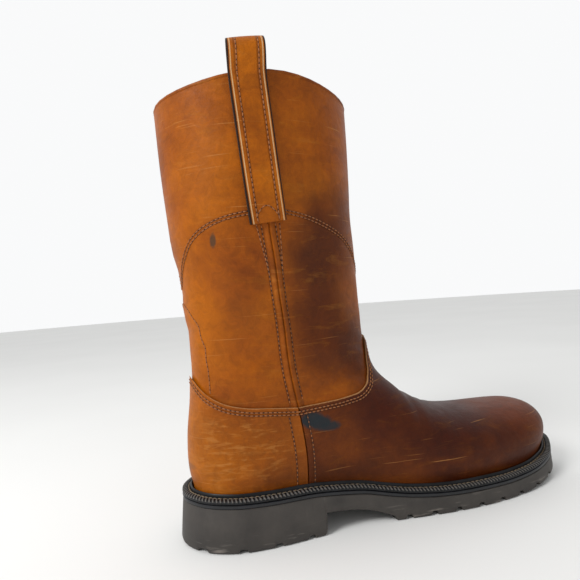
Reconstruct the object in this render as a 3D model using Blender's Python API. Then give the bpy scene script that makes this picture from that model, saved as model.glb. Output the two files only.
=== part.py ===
"""Western pull-on work boot, left foot, standing on its sole.

X runs forward to the toe, Y to the wearer's left and Z up. The origin is on the floor under the middle of the
heel. Sizes are in millimetres, measured from the back of the sole, until a mesh is made.
"""

import functools
import math

import bmesh
import bpy
import numpy as np

MM = 0.001

# Sole
SOLE_LENGTH = 304.0
BALL_WIDTH = 107.0
HEEL_WIDTH = 74.8
HEEL_LENGTH = 88.0
HEEL_HEIGHT = 28.0
HEEL_FLARE = 2.4
BREAST_STEP = 14.4
SOLE_THICKNESS = 11.0
TOE_SPRING = 9.0
TREAD_DEPTH = 2.6
HEEL_GROOVE_DEPTH = 2.0
GROOVE_WIDTH = 4.4
HEEL_GROOVE_COUNT = 4
TREAD_GROOVE_COUNT = 8
EDGE_ROUND = 1.3

# Layers on the sole
GAP = 0.3
MIDSOLE_THICKNESS = 2.4
WELT_THICKNESS = 3.0
WELT_LEDGE = 6.6
BEAD_HEIGHT = 1.6
BEAD_WIDTH = 1.4
STITCH_GROOVE = 0.8
STITCH_WIDTH = 1.6
INSOLE_THICKNESS = 3.0

# Upper
WALL = 2.2
TOE_HEIGHT = 42.0
INSTEP_RISE = 84.0
SWELL = 3.4
INSTEP_REACH = 134.0
ANKLE_WIDTH = 72.0
SHAFT_DEPTH = 146.0
SHAFT_WIDTH = 108.0
COLLAR_HEIGHT = 298.0
COLLAR_DIP = 9.0

# Overlays and trim
OVERLAY = 1.4
COUNTER_HEIGHT = 112.0
SIDE_LINE_HEIGHT = 85.0
TONGUE_HEIGHT = 126.0
SEAM_WIDTH = 4.0
SEAM_HEIGHT = 1.9
BINDING_HEIGHT = 3.2
BINDING_LAP = 0.4
STRAP_WIDTH = 23.0
STRAP_THICKNESS = 2.6
STRAP_LENGTH = 92.0
STRAP_INNER_LENGTH = 60.0
STRAP_RISE = 24.0
STRAP_BOW = 2.2
STRAP_BEND = 3.0

# Slopes and rounds
TREAD_SLOPE = 0.4
LAYER_ROUND = 0.4
WELT_CHAMFER = 0.9
WAIST_FLARE = 0.25
HEM_RISE = 0.6

# Mesh density
WELT_STEPS = 58
LOWER_COLUMNS = 5
UPPER_COLUMNS = 6

# The sole's outline, from the back round the inner side to the toe and back along the outer side.
# Columns: share of SOLE_LENGTH, share of the width named in the third column.
OUTLINE = (
    (0.000, 0.000, "heel"),
    (0.021, -0.250, "heel"),
    (0.080, -0.433, "heel"),
    (0.160, -0.500, "heel"),
    (0.290, -0.350, "ball"),
    (0.390, -0.362, "ball"),
    (0.500, -0.420, "ball"),
    (0.640, -0.472, "ball"),
    (0.775, -0.462, "ball"),
    (0.885, -0.388, "ball"),
    (0.960, -0.242, "ball"),
    (1.000, -0.040, "ball"),
    (0.982, 0.150, "ball"),
    (0.915, 0.318, "ball"),
    (0.820, 0.440, "ball"),
    (0.710, 0.512, "ball"),
    (0.610, 0.528, "ball"),
    (0.500, 0.480, "ball"),
    (0.390, 0.395, "ball"),
    (0.290, 0.356, "ball"),
    (0.160, 0.500, "heel"),
    (0.080, 0.433, "heel"),
    (0.021, 0.250, "heel"),
)

# The line of the outsole's top. Columns: share of SOLE_LENGTH, share of the heel's height over the forepart.
TOP_LINE = (
    (0.00, 1.00),
    (0.15, 0.90),
    (0.29, 0.80),
    (0.39, 0.56),
    (0.50, 0.17),
    (0.60, 0.02),
    (0.70, 0.00),
    (1.00, 0.00),
)

# Sections of the foot, from the toe tip to the back of the heel. Each is a plane that stands on the sole and
# leans to a point of the ridge. Columns: share of the foot's length where it stands, share of the foot's length
# at the ridge, the ridge's height over the sole as a share of the size named next, its swell over the foot of
# the wall as a share of SWELL, or of half of ANKLE_WIDTH in the heel rows, the share of the section where it is
# widest, and its roundness.
FOOT = (
    (1.000, 1.000, 0.124, "toe", 0.10, 0.40, 2.0),
    (0.987, 0.996, 0.40, "toe", 0.35, 0.40, 2.1),
    (0.957, 0.980, 0.70, "toe", 0.53, 0.38, 2.2),
    (0.905, 0.938, 0.91, "toe", 0.65, 0.34, 2.3),
    (0.830, 0.860, 1.00, "toe", 0.74, 0.32, 2.3),
    (0.730, 0.755, 1.05, "toe", 0.88, 0.30, 2.25),
    (0.620, 0.650, 1.16, "toe", 1.00, 0.30, 2.15),
    (0.520, 0.565, 0.705, "instep", 1.00, 0.32, 2.05),
    (0.420, 0.510, 0.850, "instep", 1.00, 0.36, 2.0),
    (0.320, 0.478, 0.955, "instep", 1.18, 0.40, 2.0),
    (0.210, 0.464, 1.050, "heel", 0.925, 0.42, 2.05),
    (0.125, 0.460, 1.120, "heel", 0.930, 0.43, 2.1),
    (0.065, 0.4585, 1.175, "heel", 0.933, 0.44, 2.1),
    (0.024, 0.4580, 1.215, "heel", 0.936, 0.45, 2.1),
)

# Sections from the back of the heel up to the collar. Columns: heights of the back and of the front as shares of
# the way from the foot's last section to the collar, places of the back and the front as shares of the depth named
# after the width share, from the foot's back, share of the width of that name, the share of the section where it
# is widest, and its roundness.
SHAFT = (
    (0.000, 0.026, 0.000, 0.990, 0.94, "ankle", 0.45, 2.1),
    (0.055, 0.102, -0.021, 0.988, 0.95, "ankle", 0.45, 2.1),
    (0.134, 0.203, -0.014, 0.982, 0.965, "ankle", 0.46, 2.1),
    (0.226, 0.315, 0.014, 0.976, 1.00, "ankle", 0.47, 2.1),
    (0.334, 0.438, 0.021, 0.888, 0.745, "shaft", 0.48, 2.1),
    (0.453, 0.564, 0.005, 0.881, 0.835, "shaft", 0.49, 2.1),
    (0.590, 0.689, -0.031, 0.880, 0.915, "shaft", 0.50, 2.1),
    (0.761, 0.824, -0.058, 0.884, 0.965, "shaft", 0.50, 2.1),
    (0.966, 0.950, -0.073, 0.882, 1.000, "shaft", 0.50, 2.1),
)

# The side seam from the side. Columns: share of COLLAR_HEIGHT, share of SHAFT_DEPTH from the sole's back.
SIDE_SEAM = (
    (0.05, 0.548),
    (0.20, 0.539),
    (0.29, 0.516),
    (0.37, 0.490),
    (0.47, 0.472),
    (0.57, 0.448),
    (0.67, 0.420),
    (1.00, 0.360),
)

# Top edge of the counter from the seam to the back. Columns: share of the way, share of its rise to the peak.
COUNTER_EDGE = ((0.0, 0.0), (0.25, 0.10), (0.50, 0.20), (0.70, 0.36), (0.85, 0.58), (1.0, 1.0), (1.3, 2.2))

# Top edge of the vamp from the seam to the front of the instep, then the round end of its tongue.
# Columns: share of the way, share of the rise to the tongue's top.
VAMP_EDGE = ((0.0, 0.0), (0.30, 0.01), (0.58, 0.03), (0.76, 0.09), (0.86, 0.20), (0.895, 0.36), (0.92, 0.70))
TONGUE_END = ((0.935, 0.90), (0.965, 0.98), (1.0, 1.0), (1.15, 1.0))

TAN_LEATHER = (0.50, 0.22, 0.07)
GREY_RUBBER = (0.09, 0.08, 0.07)
BLACK_RUBBER = (0.012, 0.013, 0.016)
INSOLE_BOARD = (0.45, 0.33, 0.20)


def clear_scene():
    for obj in list(bpy.data.objects):
        bpy.data.objects.remove(obj, do_unlink=True)


def make_material(name, colour, roughness):
    material = bpy.data.materials.new(name)
    material.use_nodes = True
    shader = material.node_tree.nodes["Principled BSDF"]
    shader.inputs["Base Color"].default_value = (*colour, 1.0)
    shader.inputs["Roughness"].default_value = roughness
    shader.inputs["Metallic"].default_value = 0.0
    return material


# Curves


def smooth_line(xs, ys):
    """A cubic through the points that rises and falls only where they do, as a function of x."""
    xs = np.array(xs, float)
    ys = np.array(ys, float)
    step = np.diff(xs)
    slope = np.diff(ys) / step
    rate = np.concatenate([slope[:1], slope[1:] * 0.0, slope[-1:]])
    for i in range(1, len(xs) - 1):
        if slope[i - 1] * slope[i] > 0:
            near = 2 * step[i] + step[i - 1]
            far = step[i] + 2 * step[i - 1]
            rate[i] = (near + far) / (near / slope[i - 1] + far / slope[i])

    def value(x):
        i = np.clip(np.searchsorted(xs, x) - 1, 0, len(step) - 1)
        t = (np.clip(x, xs[0], xs[-1]) - xs[i]) / step[i]
        start = rate[i] * step[i]
        end = rate[i + 1] * step[i]
        rise = ys[i + 1] - ys[i]
        return ys[i] + t * (start + t * (3 * rise - 2 * start - end + t * (start + end - 2 * rise)))

    return value


def closed_curve(points, steps):
    """A closed cubic spline through the points, as a dense polygon."""
    points = np.array(points, float)
    count = len(points)
    following = np.roll(points, -1, axis=0)
    chord = np.linalg.norm(following - points, axis=1)
    slope = (following - points) / chord[:, None]
    system = np.zeros((count, count))
    for i in range(count):
        system[i, i - 1] = chord[i - 1]
        system[i, i] = 2 * (chord[i - 1] + chord[i])
        system[i, (i + 1) % count] = chord[i]
    bend = np.linalg.solve(system, 6 * (slope - np.roll(slope, 1, axis=0)))
    curve = []
    for i in range(count):
        j = (i + 1) % count
        for t in np.linspace(0, 1, steps, endpoint=False):
            a = 1 - t
            bow = (a**3 - a) * bend[i] + (t**3 - t) * bend[j]
            curve.append(a * points[i] + t * points[j] + bow * chord[i] ** 2 / 6)
    return np.array(curve)


# The sole's outline and its top line

WIDTHS = {"heel": HEEL_WIDTH, "ball": BALL_WIDTH, "ankle": ANKLE_WIDTH, "shaft": SHAFT_WIDTH}
HEIGHTS = {"toe": TOE_HEIGHT, "instep": INSTEP_RISE, "heel": INSTEP_RISE}
DEPTHS = {"ankle": INSTEP_REACH, "shaft": SHAFT_DEPTH}

EDGE = closed_curve([(x * SOLE_LENGTH, y * WIDTHS[width]) for x, y, width in OUTLINE], 24)
ALONG = np.roll(EDGE, -1, axis=0) - np.roll(EDGE, 1, axis=0)
EDGE_OUT = np.stack([ALONG[:, 1], -ALONG[:, 0]], axis=1) / np.linalg.norm(ALONG, axis=1)[:, None]


def edge_sides(offset):
    """The inner and the outer half of the sole's outline, moved outwards by the offset."""
    curve = EDGE + offset * EDGE_OUT
    curve = np.roll(curve, -int(np.argmin(curve[:, 0])), axis=0)
    toe = int(np.argmax(curve[:, 0]))
    return curve[: toe + 1], np.vstack([curve[toe:], curve[:1]])[::-1]


SIDES = {}


def sides_at(x, offset):
    """The inner and the outer y of that outline at x."""
    if offset not in SIDES:
        SIDES[offset] = edge_sides(offset)
    inner, outer = SIDES[offset]
    return float(np.interp(x, *inner.T)), float(np.interp(x, *outer.T))


TOP_SHARE = smooth_line(*zip(*TOP_LINE))
TREAD_START = 0.455 * SOLE_LENGTH
TREAD_END = 0.93 * SOLE_LENGTH
SPRING_START = 0.74 * SOLE_LENGTH


def spring_at(x):
    return TOE_SPRING * (max(x - SPRING_START, 0.0) / (SOLE_LENGTH - SPRING_START)) ** 1.8


def top_at(x):
    """Height of the outsole's top face."""
    over = HEEL_HEIGHT - SOLE_THICKNESS
    return SOLE_THICKNESS + spring_at(x) + over * float(TOP_SHARE(x / SOLE_LENGTH))


# Meshes


def new_object(name, bm, material):
    bmesh.ops.recalc_face_normals(bm, faces=bm.faces)
    mesh = bpy.data.meshes.new(name)
    bm.to_mesh(mesh)
    bm.free()
    mesh.shade_smooth()
    mesh.set_sharp_from_angle(angle=math.radians(35))
    mesh.materials.append(material)
    obj = bpy.data.objects.new(name, mesh)
    bpy.context.scene.collection.objects.link(obj)
    return obj


def new_vert(bm, point):
    x, y, z = point
    return bm.verts.new(((x - HEEL_LENGTH / 2) * MM, y * MM, z * MM))


def loft(name, rings, material, closed=False):
    """Rings of points joined one to the next, with flat ends, or round to the first again."""
    bm = bmesh.new()
    rows = [[new_vert(bm, point) for point in ring] for ring in rings]
    pairs = list(zip(rows, rows[1:]))
    if closed:
        pairs.append((rows[-1], rows[0]))
    else:
        bm.faces.new(rows[0])
        bm.faces.new(rows[-1])
    for row, following in pairs:
        for i in range(len(row)):
            j = (i + 1) % len(row)
            bm.faces.new((row[i], row[j], following[j], following[i]))
    return new_object(name, bm, material)


def plate(name, levels, material, places):
    """A layer of the sole across its full width. Each level gives an offset and a height at a place."""
    rings = []
    for x, under in places:
        inner_side = []
        outer_side = []
        for level in levels:
            offset, height = level(x, under)
            stretched = x + offset * (2 * x / SOLE_LENGTH - 1)
            inner, outer = sides_at(stretched, offset)
            inner_side.append((stretched, inner, height))
            outer_side.append((stretched, outer, height))
        rings.append(inner_side + outer_side[::-1])
    return loft(name, rings, material)


# Outsole


def round_end(reach, count):
    """Distances from an end, close together at its tip."""
    turns = np.linspace(0.08, 1, count)
    return [reach * (1 - math.cos(turn * math.pi / 2)) for turn in turns]


def groove_edges(start, end, count, depth):
    """Places and depths along cross grooves that are spread evenly from start to end."""
    pitch = (end - start) / count
    slope = TREAD_SLOPE
    found = []
    for i in range(count):
        middle = start + (i + 0.5) * pitch
        half = GROOVE_WIDTH / 2
        found += [(middle - half - slope, 0.0), (middle - half + slope, depth)]
        found += [(middle + half - slope, depth), (middle + half + slope, 0.0)]
    return found


def outsole_places():
    """Places along the outsole with the height of its underside, without the toe spring."""
    heel_grooves = groove_edges(0.0, HEEL_LENGTH, HEEL_GROOVE_COUNT, HEEL_GROOVE_DEPTH)
    tread_grooves = groove_edges(TREAD_START, TREAD_END, TREAD_GROOVE_COUNT, TREAD_DEPTH)
    first_groove = heel_grooves[0][0]
    places = [(x, 0.0) for x in round_end(0.5 * HEEL_WIDTH, 7) if x < first_groove]
    places += heel_grooves
    places += [(HEEL_LENGTH - TREAD_SLOPE / 2, 0.0), (HEEL_LENGTH + TREAD_SLOPE / 2, BREAST_STEP)]
    waist = TREAD_START - HEEL_LENGTH
    waist_drop = top_at(HEEL_LENGTH) - BREAST_STEP
    for share in np.linspace(0.12, 1, 7):
        x = HEEL_LENGTH + share * (waist - TREAD_SLOPE)
        under = top_at(x) - waist_drop
        places.append((x, under + (TREAD_DEPTH - under) * share**6))
    places.append((TREAD_START + TREAD_SLOPE, 0.0))
    places += tread_grooves
    places += [(SOLE_LENGTH - x, 0.0) for x in round_end(SOLE_LENGTH - TREAD_END, 7)[::-1]]
    return places


def make_outsole(material):
    def flare(x):
        return HEEL_FLARE if x < HEEL_LENGTH else WAIST_FLARE * HEEL_FLARE

    levels = (
        lambda x, under: (flare(x) - EDGE_ROUND, under + spring_at(x)),
        lambda x, under: (flare(x), under + spring_at(x) + EDGE_ROUND),
        lambda x, under: (0.0, top_at(x) - EDGE_ROUND / 2),
        lambda x, under: (-EDGE_ROUND / 2, top_at(x)),
    )
    return plate("outsole", levels, material, outsole_places())


# Midsole, welt and insole

MIDSOLE_BASE = GAP
WELT_BASE = MIDSOLE_BASE + MIDSOLE_THICKNESS + GAP
HEM = WELT_THICKNESS + BEAD_HEIGHT + HEM_RISE
FOOT_OFFSET = -(WELT_LEDGE + GAP + OVERLAY + GAP)


def make_layer(name, base, thickness, offset, rounding, material):
    """A plain layer that follows the outsole's top line."""
    levels = (
        lambda x, under: (offset - rounding, top_at(x) + base),
        lambda x, under: (offset, top_at(x) + base + rounding),
        lambda x, under: (offset, top_at(x) + base + thickness - rounding),
        lambda x, under: (offset - rounding, top_at(x) + base + thickness),
    )
    turns = np.linspace(0.035, 0.965, 32)
    places = [(SOLE_LENGTH * (1 - math.cos(turn * math.pi)) / 2, 0.0) for turn in turns]
    return plate(name, levels, material, places)


def welt_places():
    """Places round the outline, closer together where it bends more, as positions in EDGE."""
    along = np.roll(EDGE, -1, axis=0) - EDGE
    heading = np.unwrap(np.arctan2(along[:, 1], along[:, 0]))
    turn = np.abs(np.diff(np.append(heading, heading[0] + 2 * math.pi)))
    run = np.concatenate([[0], np.cumsum(np.linalg.norm(along, axis=1) + 90 * turn)])
    return np.interp(np.linspace(0, run[-1], WELT_STEPS, endpoint=False), run, np.arange(len(run)))


def make_welt(material):
    top = WELT_BASE + WELT_THICKNESS
    groove = -WELT_LEDGE + BEAD_WIDTH + 0.6 * STITCH_WIDTH
    profile = (
        (-LAYER_ROUND, WELT_BASE),
        (0.0, WELT_BASE + LAYER_ROUND),
        (0.0, top - WELT_CHAMFER),
        (-WELT_CHAMFER, top),
        (groove + 0.85 * STITCH_WIDTH, top),
        (groove + 0.40 * STITCH_WIDTH, top - STITCH_GROOVE),
        (groove - 0.25 * STITCH_WIDTH, top - STITCH_GROOVE),
        (groove - 0.60 * STITCH_WIDTH, top),
        (-WELT_LEDGE + 0.75 * BEAD_WIDTH, top + BEAD_HEIGHT),
        (-WELT_LEDGE, top + BEAD_HEIGHT),
        (-WELT_LEDGE, WELT_BASE),
    )
    rings = []
    for place in welt_places():
        ring = []
        for offset, height in profile:
            curve = EDGE + offset * EDGE_OUT
            curve = np.vstack([curve, curve[:1]])
            x, y = [float(np.interp(place, np.arange(len(curve)), axis)) for axis in curve.T]
            ring.append((x, y, top_at(x) + height))
        rings.append(ring)
    return loft("welt", rings, material, closed=True)


# The upper's own function: sections from the toe to the collar. Its ridge runs from the tip of the toe into the
# middle plane at CENTRE_ROW.

FOOT_EDGE = EDGE + FOOT_OFFSET * EDGE_OUT
FOOT_BACK = float(FOOT_EDGE[:, 0].min())
FOOT_TIP = float(FOOT_EDGE[:, 0].max())
TIP_Y = float(FOOT_EDGE[FOOT_EDGE[:, 0].argmax(), 1])
CENTRE_ROW = 9
HEEL_ROW = len(FOOT)
LAST_ROW = len(FOOT) + len(SHAFT) - 1
HALF_ROWS = [row + 0.5 for row in range(HEEL_ROW + 3) if not 4 <= row < 7]
ROWS = sorted(list(range(LAST_ROW + 1)) + HALF_ROWS)


def section_lines():
    """Smooth lines through the two tables, one for each column of a section."""
    rows = []
    for stand, ridge, height, part, swell, widest, roundness in FOOT:
        foot_x = FOOT_BACK + stand * (FOOT_TIP - FOOT_BACK)
        ridge_x = FOOT_BACK + ridge * (FOOT_TIP - FOOT_BACK)
        if part != "toe":
            ridge_x = FOOT_BACK + ridge / FOOT[-1][1] * INSTEP_REACH
        inner, outer = sides_at(foot_x, FOOT_OFFSET)
        half = (outer - inner) / 2 + swell * SWELL
        if part == "heel":
            half = swell * ANKLE_WIDTH / 2
        foot_z = top_at(foot_x) + WELT_BASE + HEM
        ridge_z = top_at(ridge_x) + WELT_BASE + height * HEIGHTS[part]
        rows.append((foot_x, foot_z, ridge_x, ridge_z, half, widest, roundness))
    heel_z = top_at(FOOT_BACK) + WELT_BASE + HEM
    instep_z = rows[-1][3]
    for back_z, front_z, back, front, share, width, widest, roundness in SHAFT:
        back_x = FOOT_BACK + back * DEPTHS[width]
        front_x = FOOT_BACK + front * DEPTHS[width]
        half = share * WIDTHS[width] / 2
        foot_z = heel_z + back_z * (COLLAR_HEIGHT - heel_z)
        ridge_z = instep_z + front_z * (COLLAR_HEIGHT - instep_z)
        rows.append((back_x, foot_z, front_x, ridge_z, half, widest, roundness))
    return [smooth_line(range(len(rows)), column) for column in zip(*rows)]


SECTION_LINES = section_lines()


@functools.lru_cache(maxsize=None)
def section_at(row):
    foot_x, foot_z, ridge_x, ridge_z, half, widest, roundness = [float(line(row)) for line in SECTION_LINES]
    inner, outer = 0.0, 0.0
    if row < HEEL_ROW:
        inner, outer = sides_at(foot_x, FOOT_OFFSET)
        foot_z = top_at(foot_x) + WELT_BASE + HEM
    base = (outer - inner) / 2
    half = max(half, base + 0.05)
    return {
        "foot": np.array([foot_x, foot_z]),
        "ridge": np.array([ridge_x, ridge_z]),
        "base_y": (outer + inner) / 2,
        "ridge_y": TIP_Y * max(1 - row / CENTRE_ROW, 0) ** 0.8,
        "half": half,
        "widest": widest,
        "power": roundness,
        "reach": widest / (1 - (base / half) ** roundness) ** (1 / roundness),
        "dip": COLLAR_DIP * max((row - HEEL_ROW) / (LAST_ROW - HEEL_ROW), 0) ** 3,
    }


def section_point(section, share, side):
    """A point of the upper's outside, a share of the way from the foot of a section to its ridge."""
    if share < section["widest"]:
        along = (section["widest"] - share) / section["reach"]
    else:
        along = (share - section["widest"]) / (1 - section["widest"])
    out = section["half"] * max(1 - min(along, 1.0) ** section["power"], 0.0) ** (1 / section["power"])
    x, z = section["foot"] + share * (section["ridge"] - section["foot"])
    middle = section["base_y"] + (section["ridge_y"] - section["base_y"]) * share**2
    return np.array([x, middle + side * out, z + section["dip"] * math.sin(math.pi * share) ** 2])


def section_shares(section):
    """Shares along a section, closer together where it bends more."""
    power = 2 / section["power"]
    start = math.asin(min(section["widest"] / section["reach"], 1.0) ** (1 / power))
    shares = []
    for i in range(LOWER_COLUMNS):
        turn = start * (1 - i / LOWER_COLUMNS)
        shares.append(max(section["widest"] - section["reach"] * math.sin(turn) ** power, 0.0))
    for i in range(UPPER_COLUMNS + 1):
        turn = math.pi / 2 * i / UPPER_COLUMNS
        shares.append(section["widest"] + (1 - section["widest"]) * math.sin(turn) ** power)
    return shares


def on_skin(x, z, side):
    """The point of the upper's outside that is seen from the side at x and z."""
    level = z
    for _ in range(3):
        low, high = 0.0, float(LAST_ROW)
        for _ in range(20):
            row = (low + high) / 2
            section = section_at(row)
            run = section["ridge"] - section["foot"]
            gone = np.array([x, level]) - section["foot"]
            if run[0] * gone[1] - run[1] * gone[0] > 0:
                low = row
            else:
                high = row
        share = min(max(float(gone @ run / (run @ run)), 0.0), 1.0)
        level = z - section["dip"] * math.sin(math.pi * share) ** 2
    return section_point(section, share, side)


def skin_out(x, z, side):
    """The outward direction there."""
    step = 0.5
    forward = on_skin(x + step, z, side) - on_skin(x - step, z, side)
    upward = on_skin(x, z + step, side) - on_skin(x, z - step, side)
    across = np.cross(forward, upward) * -side
    return across / np.linalg.norm(across)


class Skin:
    """The upper's outside between two rows of the sections, as points, faces and outward directions."""

    def __init__(self, first, last):
        points = []
        faces = []
        flat = []
        hem = []
        for side in (-1, 1):
            start = None
            for row in [row for row in ROWS if first <= row <= last]:
                section = section_at(row)
                line = [section_point(section, share, side) for share in section_shares(section)]
                if row == 0:
                    line = [line[0]] * len(line)
                in_foot = row <= HEEL_ROW
                line = [line[0] - (0, 0, HEM * in_foot)] + line
                ids = list(range(len(points), len(points) + len(line)))
                points += line
                flat += [in_foot or row == LAST_ROW] * 2 + [row == LAST_ROW] * (len(line) - 2)
                hem += [in_foot] + [False] * (len(line) - 1)
                if start:
                    for i in range(0 if in_foot else 1, len(ids) - 1):
                        quad = (start[i], start[i + 1], ids[i + 1], ids[i])
                        faces.append(quad[::-side])
                start = ids
        self.weld(np.array(points), faces, np.array(flat), np.array(hem))

    def weld(self, points, faces, flat, hem):
        """Makes points at one place one point, and splits each face along its shorter diagonal."""
        _, first, index = np.unique(np.round(points, 3), axis=0, return_index=True, return_inverse=True)
        index = index.reshape(-1)
        self.points = points[first]
        self.flat = flat[first]
        self.hem = hem[first]
        self.faces = []
        for face in faces:
            ring = []
            for i in index[list(face)]:
                if i not in ring:
                    ring.append(int(i))
            if len(ring) == 4:
                a, b, c, d = ring
                corners = self.points
                if np.linalg.norm(corners[a] - corners[c]) > np.linalg.norm(corners[b] - corners[d]):
                    a, b, c, d = b, c, d, a
                self.faces += [[a, b, c], [a, c, d]]
            elif len(ring) == 3:
                self.faces.append(ring)
        out = np.zeros_like(self.points)
        for ring in self.faces:
            corners = self.points[ring]
            out[ring] += np.cross(corners[1] - corners[0], corners[2] - corners[0])
        out[self.flat, 2] = 0
        self.out = out / np.linalg.norm(out, axis=1)[:, None]

    def shell(self, name, low, high, material):
        """A closed shell between two distances from the skin."""
        bm = bmesh.new()
        layers = []
        for lift in (high, low):
            points = self.points + lift * self.out
            for i in np.flatnonzero(self.hem):
                points[i, 2] = top_at(points[i, 0]) + WELT_BASE
            layers.append([new_vert(bm, point) for point in points])
        outer, inner = layers
        edges = {}
        for ring in self.faces:
            bm.faces.new([outer[i] for i in ring])
            bm.faces.new([inner[i] for i in ring[::-1]])
            for i, j in zip(ring, ring[1:] + ring[:1]):
                edges[i, j] = True
        for i, j in edges:
            if (j, i) not in edges:
                bm.faces.new((outer[j], outer[i], inner[i], inner[j]))
        return new_object(name, bm, material)


# Overlays, cut from shells of the skin by a cutter with the outline that shows from the side

COUNTER_ROWS = (8.5, HEEL_ROW + 4)
VAMP_ROWS = (0, HEEL_ROW + 1.5)
SEAM_X = smooth_line([z * COLLAR_HEIGHT for z, _ in SIDE_SEAM], [x * SHAFT_DEPTH for _, x in SIDE_SEAM])


def side_cutter(name, outline):
    bm = bmesh.new()
    reach = BALL_WIDTH
    face = bm.faces.new([new_vert(bm, (x, -reach, z)) for x, z in outline])
    moved = bmesh.ops.extrude_face_region(bm, geom=[face])["geom"]
    bmesh.ops.translate(bm, vec=(0, 2 * reach * MM, 0), verts=[v for v in moved if isinstance(v, bmesh.types.BMVert)])
    bmesh.ops.recalc_face_normals(bm, faces=bm.faces)
    mesh = bpy.data.meshes.new(name)
    bm.to_mesh(mesh)
    bm.free()
    cutter = bpy.data.objects.new(name, mesh)
    bpy.context.scene.collection.objects.link(cutter)
    cutter.hide_render = True
    cutter.display_type = "WIRE"
    return cutter


def keep_inside(obj, cutter):
    boolean = obj.modifiers.new("outline", "BOOLEAN")
    boolean.operation = "INTERSECT"
    boolean.solver = "EXACT"
    boolean.object = cutter


def seam_side(direction):
    """The side seam's line from below the welt up to the side line, moved clear of the seam strip."""
    clear = direction * (SEAM_WIDTH / 2 + GAP)
    heights = np.linspace(0, SIDE_LINE_HEIGHT, 6)
    return [(float(SEAM_X(z)) + clear, z) for z in heights]


def make_counter(material):
    side = seam_side(-1)
    seam_x = side[-1][0]
    back = FOOT_BACK
    rise = smooth_line(*zip(*COUNTER_EDGE))
    top = []
    for share in np.linspace(0, 1.3, 17)[1:]:
        z = SIDE_LINE_HEIGHT + float(rise(share)) * (COUNTER_HEIGHT - SIDE_LINE_HEIGHT)
        top.append((seam_x + share * (back - seam_x), z))
    outline = side + top + [(top[-1][0], 0.0)]
    counter = Skin(*COUNTER_ROWS).shell("counter", GAP, GAP + OVERLAY, material)
    keep_inside(counter, side_cutter("counter_outline", outline))
    return counter


def make_vamp(material):
    side = seam_side(1)
    seam_x = side[-1][0]
    front = FOOT_BACK + INSTEP_REACH
    top = []
    for share, rise in VAMP_EDGE + TONGUE_END:
        z = SIDE_LINE_HEIGHT + rise * (TONGUE_HEIGHT - SIDE_LINE_HEIGHT)
        top.append((seam_x + share * (front - seam_x), z))
    outline = side + top[1:] + [(SOLE_LENGTH, TONGUE_HEIGHT), (SOLE_LENGTH, 0.0)]
    vamp = Skin(*VAMP_ROWS).shell("vamp", GAP, GAP + OVERLAY, material)
    keep_inside(vamp, side_cutter("vamp_outline", outline))
    return vamp


# Side seams, collar binding and pull straps


def make_side_seam(name, side, material):
    """A raised strip up the side, from the welt to under the pull strap."""
    start = top_at(float(SEAM_X(0.0))) + WELT_BASE + HEM + GAP
    rings = []
    for z in np.linspace(start, COLLAR_HEIGHT - STRAP_LENGTH - GAP, 21):
        x = float(SEAM_X(z))
        point = on_skin(x, z, side)
        out = skin_out(x, z, side)
        along = on_skin(float(SEAM_X(z + 1)), z + 1, side) - point
        across = np.cross(along, out)
        across /= np.linalg.norm(across)
        half = SEAM_WIDTH / 2
        profile = ((-half, 0.0), (-half, 0.5), (-0.55 * half, 1.0), (0.55 * half, 1.0), (half, 0.5), (half, 0.0))
        rings.append([point + a * across + (GAP + h * SEAM_HEIGHT) * out for a, h in profile])
    return loft(name, rings, material)


def make_collar_binding(material):
    skin = Skin(LAST_ROW - 1, LAST_ROW)
    rim = skin.points[skin.flat]
    out = skin.out[skin.flat]
    middle = rim.mean(axis=0)
    order = np.argsort(np.arctan2(rim[:, 1] - middle[1], rim[:, 0] - middle[0]))
    outside = BINDING_LAP
    inside = -WALL - BINDING_LAP
    round_off = 0.25 * WALL
    profile = (
        (outside, 0.0),
        (outside, 0.7),
        (outside - round_off, 1.0),
        (inside + round_off, 1.0),
        (inside, 0.7),
        (inside, 0.0),
    )
    rings = []
    for i in order:
        rings.append([rim[i] + a * out[i] + (0, 0, GAP + h * BINDING_HEIGHT) for a, h in profile])
    return loft("collar_binding", rings, material, closed=True)


def strap_row(z, side, lift):
    """Points across a pull strap, square to the side seam, at a distance from the skin."""
    lean = float(SEAM_X(z) - SEAM_X(z - 1))
    row = []
    for across in np.linspace(-STRAP_WIDTH / 2, STRAP_WIDTH / 2, 5):
        x = float(SEAM_X(z)) + across
        height = min(z - lean * across, COLLAR_HEIGHT)
        row.append(on_skin(x, height, side) + lift * skin_out(x, height, side))
    return row


def make_pull_strap(name, side, material):
    """A leather loop over the collar at the side seam, with a long outer leg and a short inner one."""
    half = STRAP_THICKNESS / 2
    outside = BINDING_LAP + GAP + half
    inside = WALL + BINDING_LAP + 4 * GAP + half
    top = COLLAR_HEIGHT - STRAP_BEND
    up = [strap_row(z, side, outside) for z in np.linspace(COLLAR_HEIGHT - STRAP_LENGTH, top, 9)]
    down = [strap_row(z, side, -inside) for z in np.linspace(top, COLLAR_HEIGHT - STRAP_INNER_LENGTH, 6)]
    over = []
    for turn in np.linspace(0, math.pi, 11)[1:-1]:
        share = (1 - math.cos(turn) * (1 + STRAP_BOW * math.sin(turn))) / 2
        lift = np.array([0, 0, STRAP_RISE * math.sin(turn) ** 0.8])
        over.append([(1 - share) * a + share * b + lift for a, b in zip(up[-1], down[0])])
    grid = np.array(up + over + down)
    along = np.gradient(grid, axis=0)
    across = np.gradient(grid, axis=1)
    normal = np.cross(along, across)
    normal /= np.linalg.norm(normal, axis=2)[:, :, None]
    outer = grid + half * normal
    inner = grid - half * normal
    rings = [list(a) + list(b[::-1]) for a, b in zip(outer, inner)]
    return loft(name, rings, material)


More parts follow.
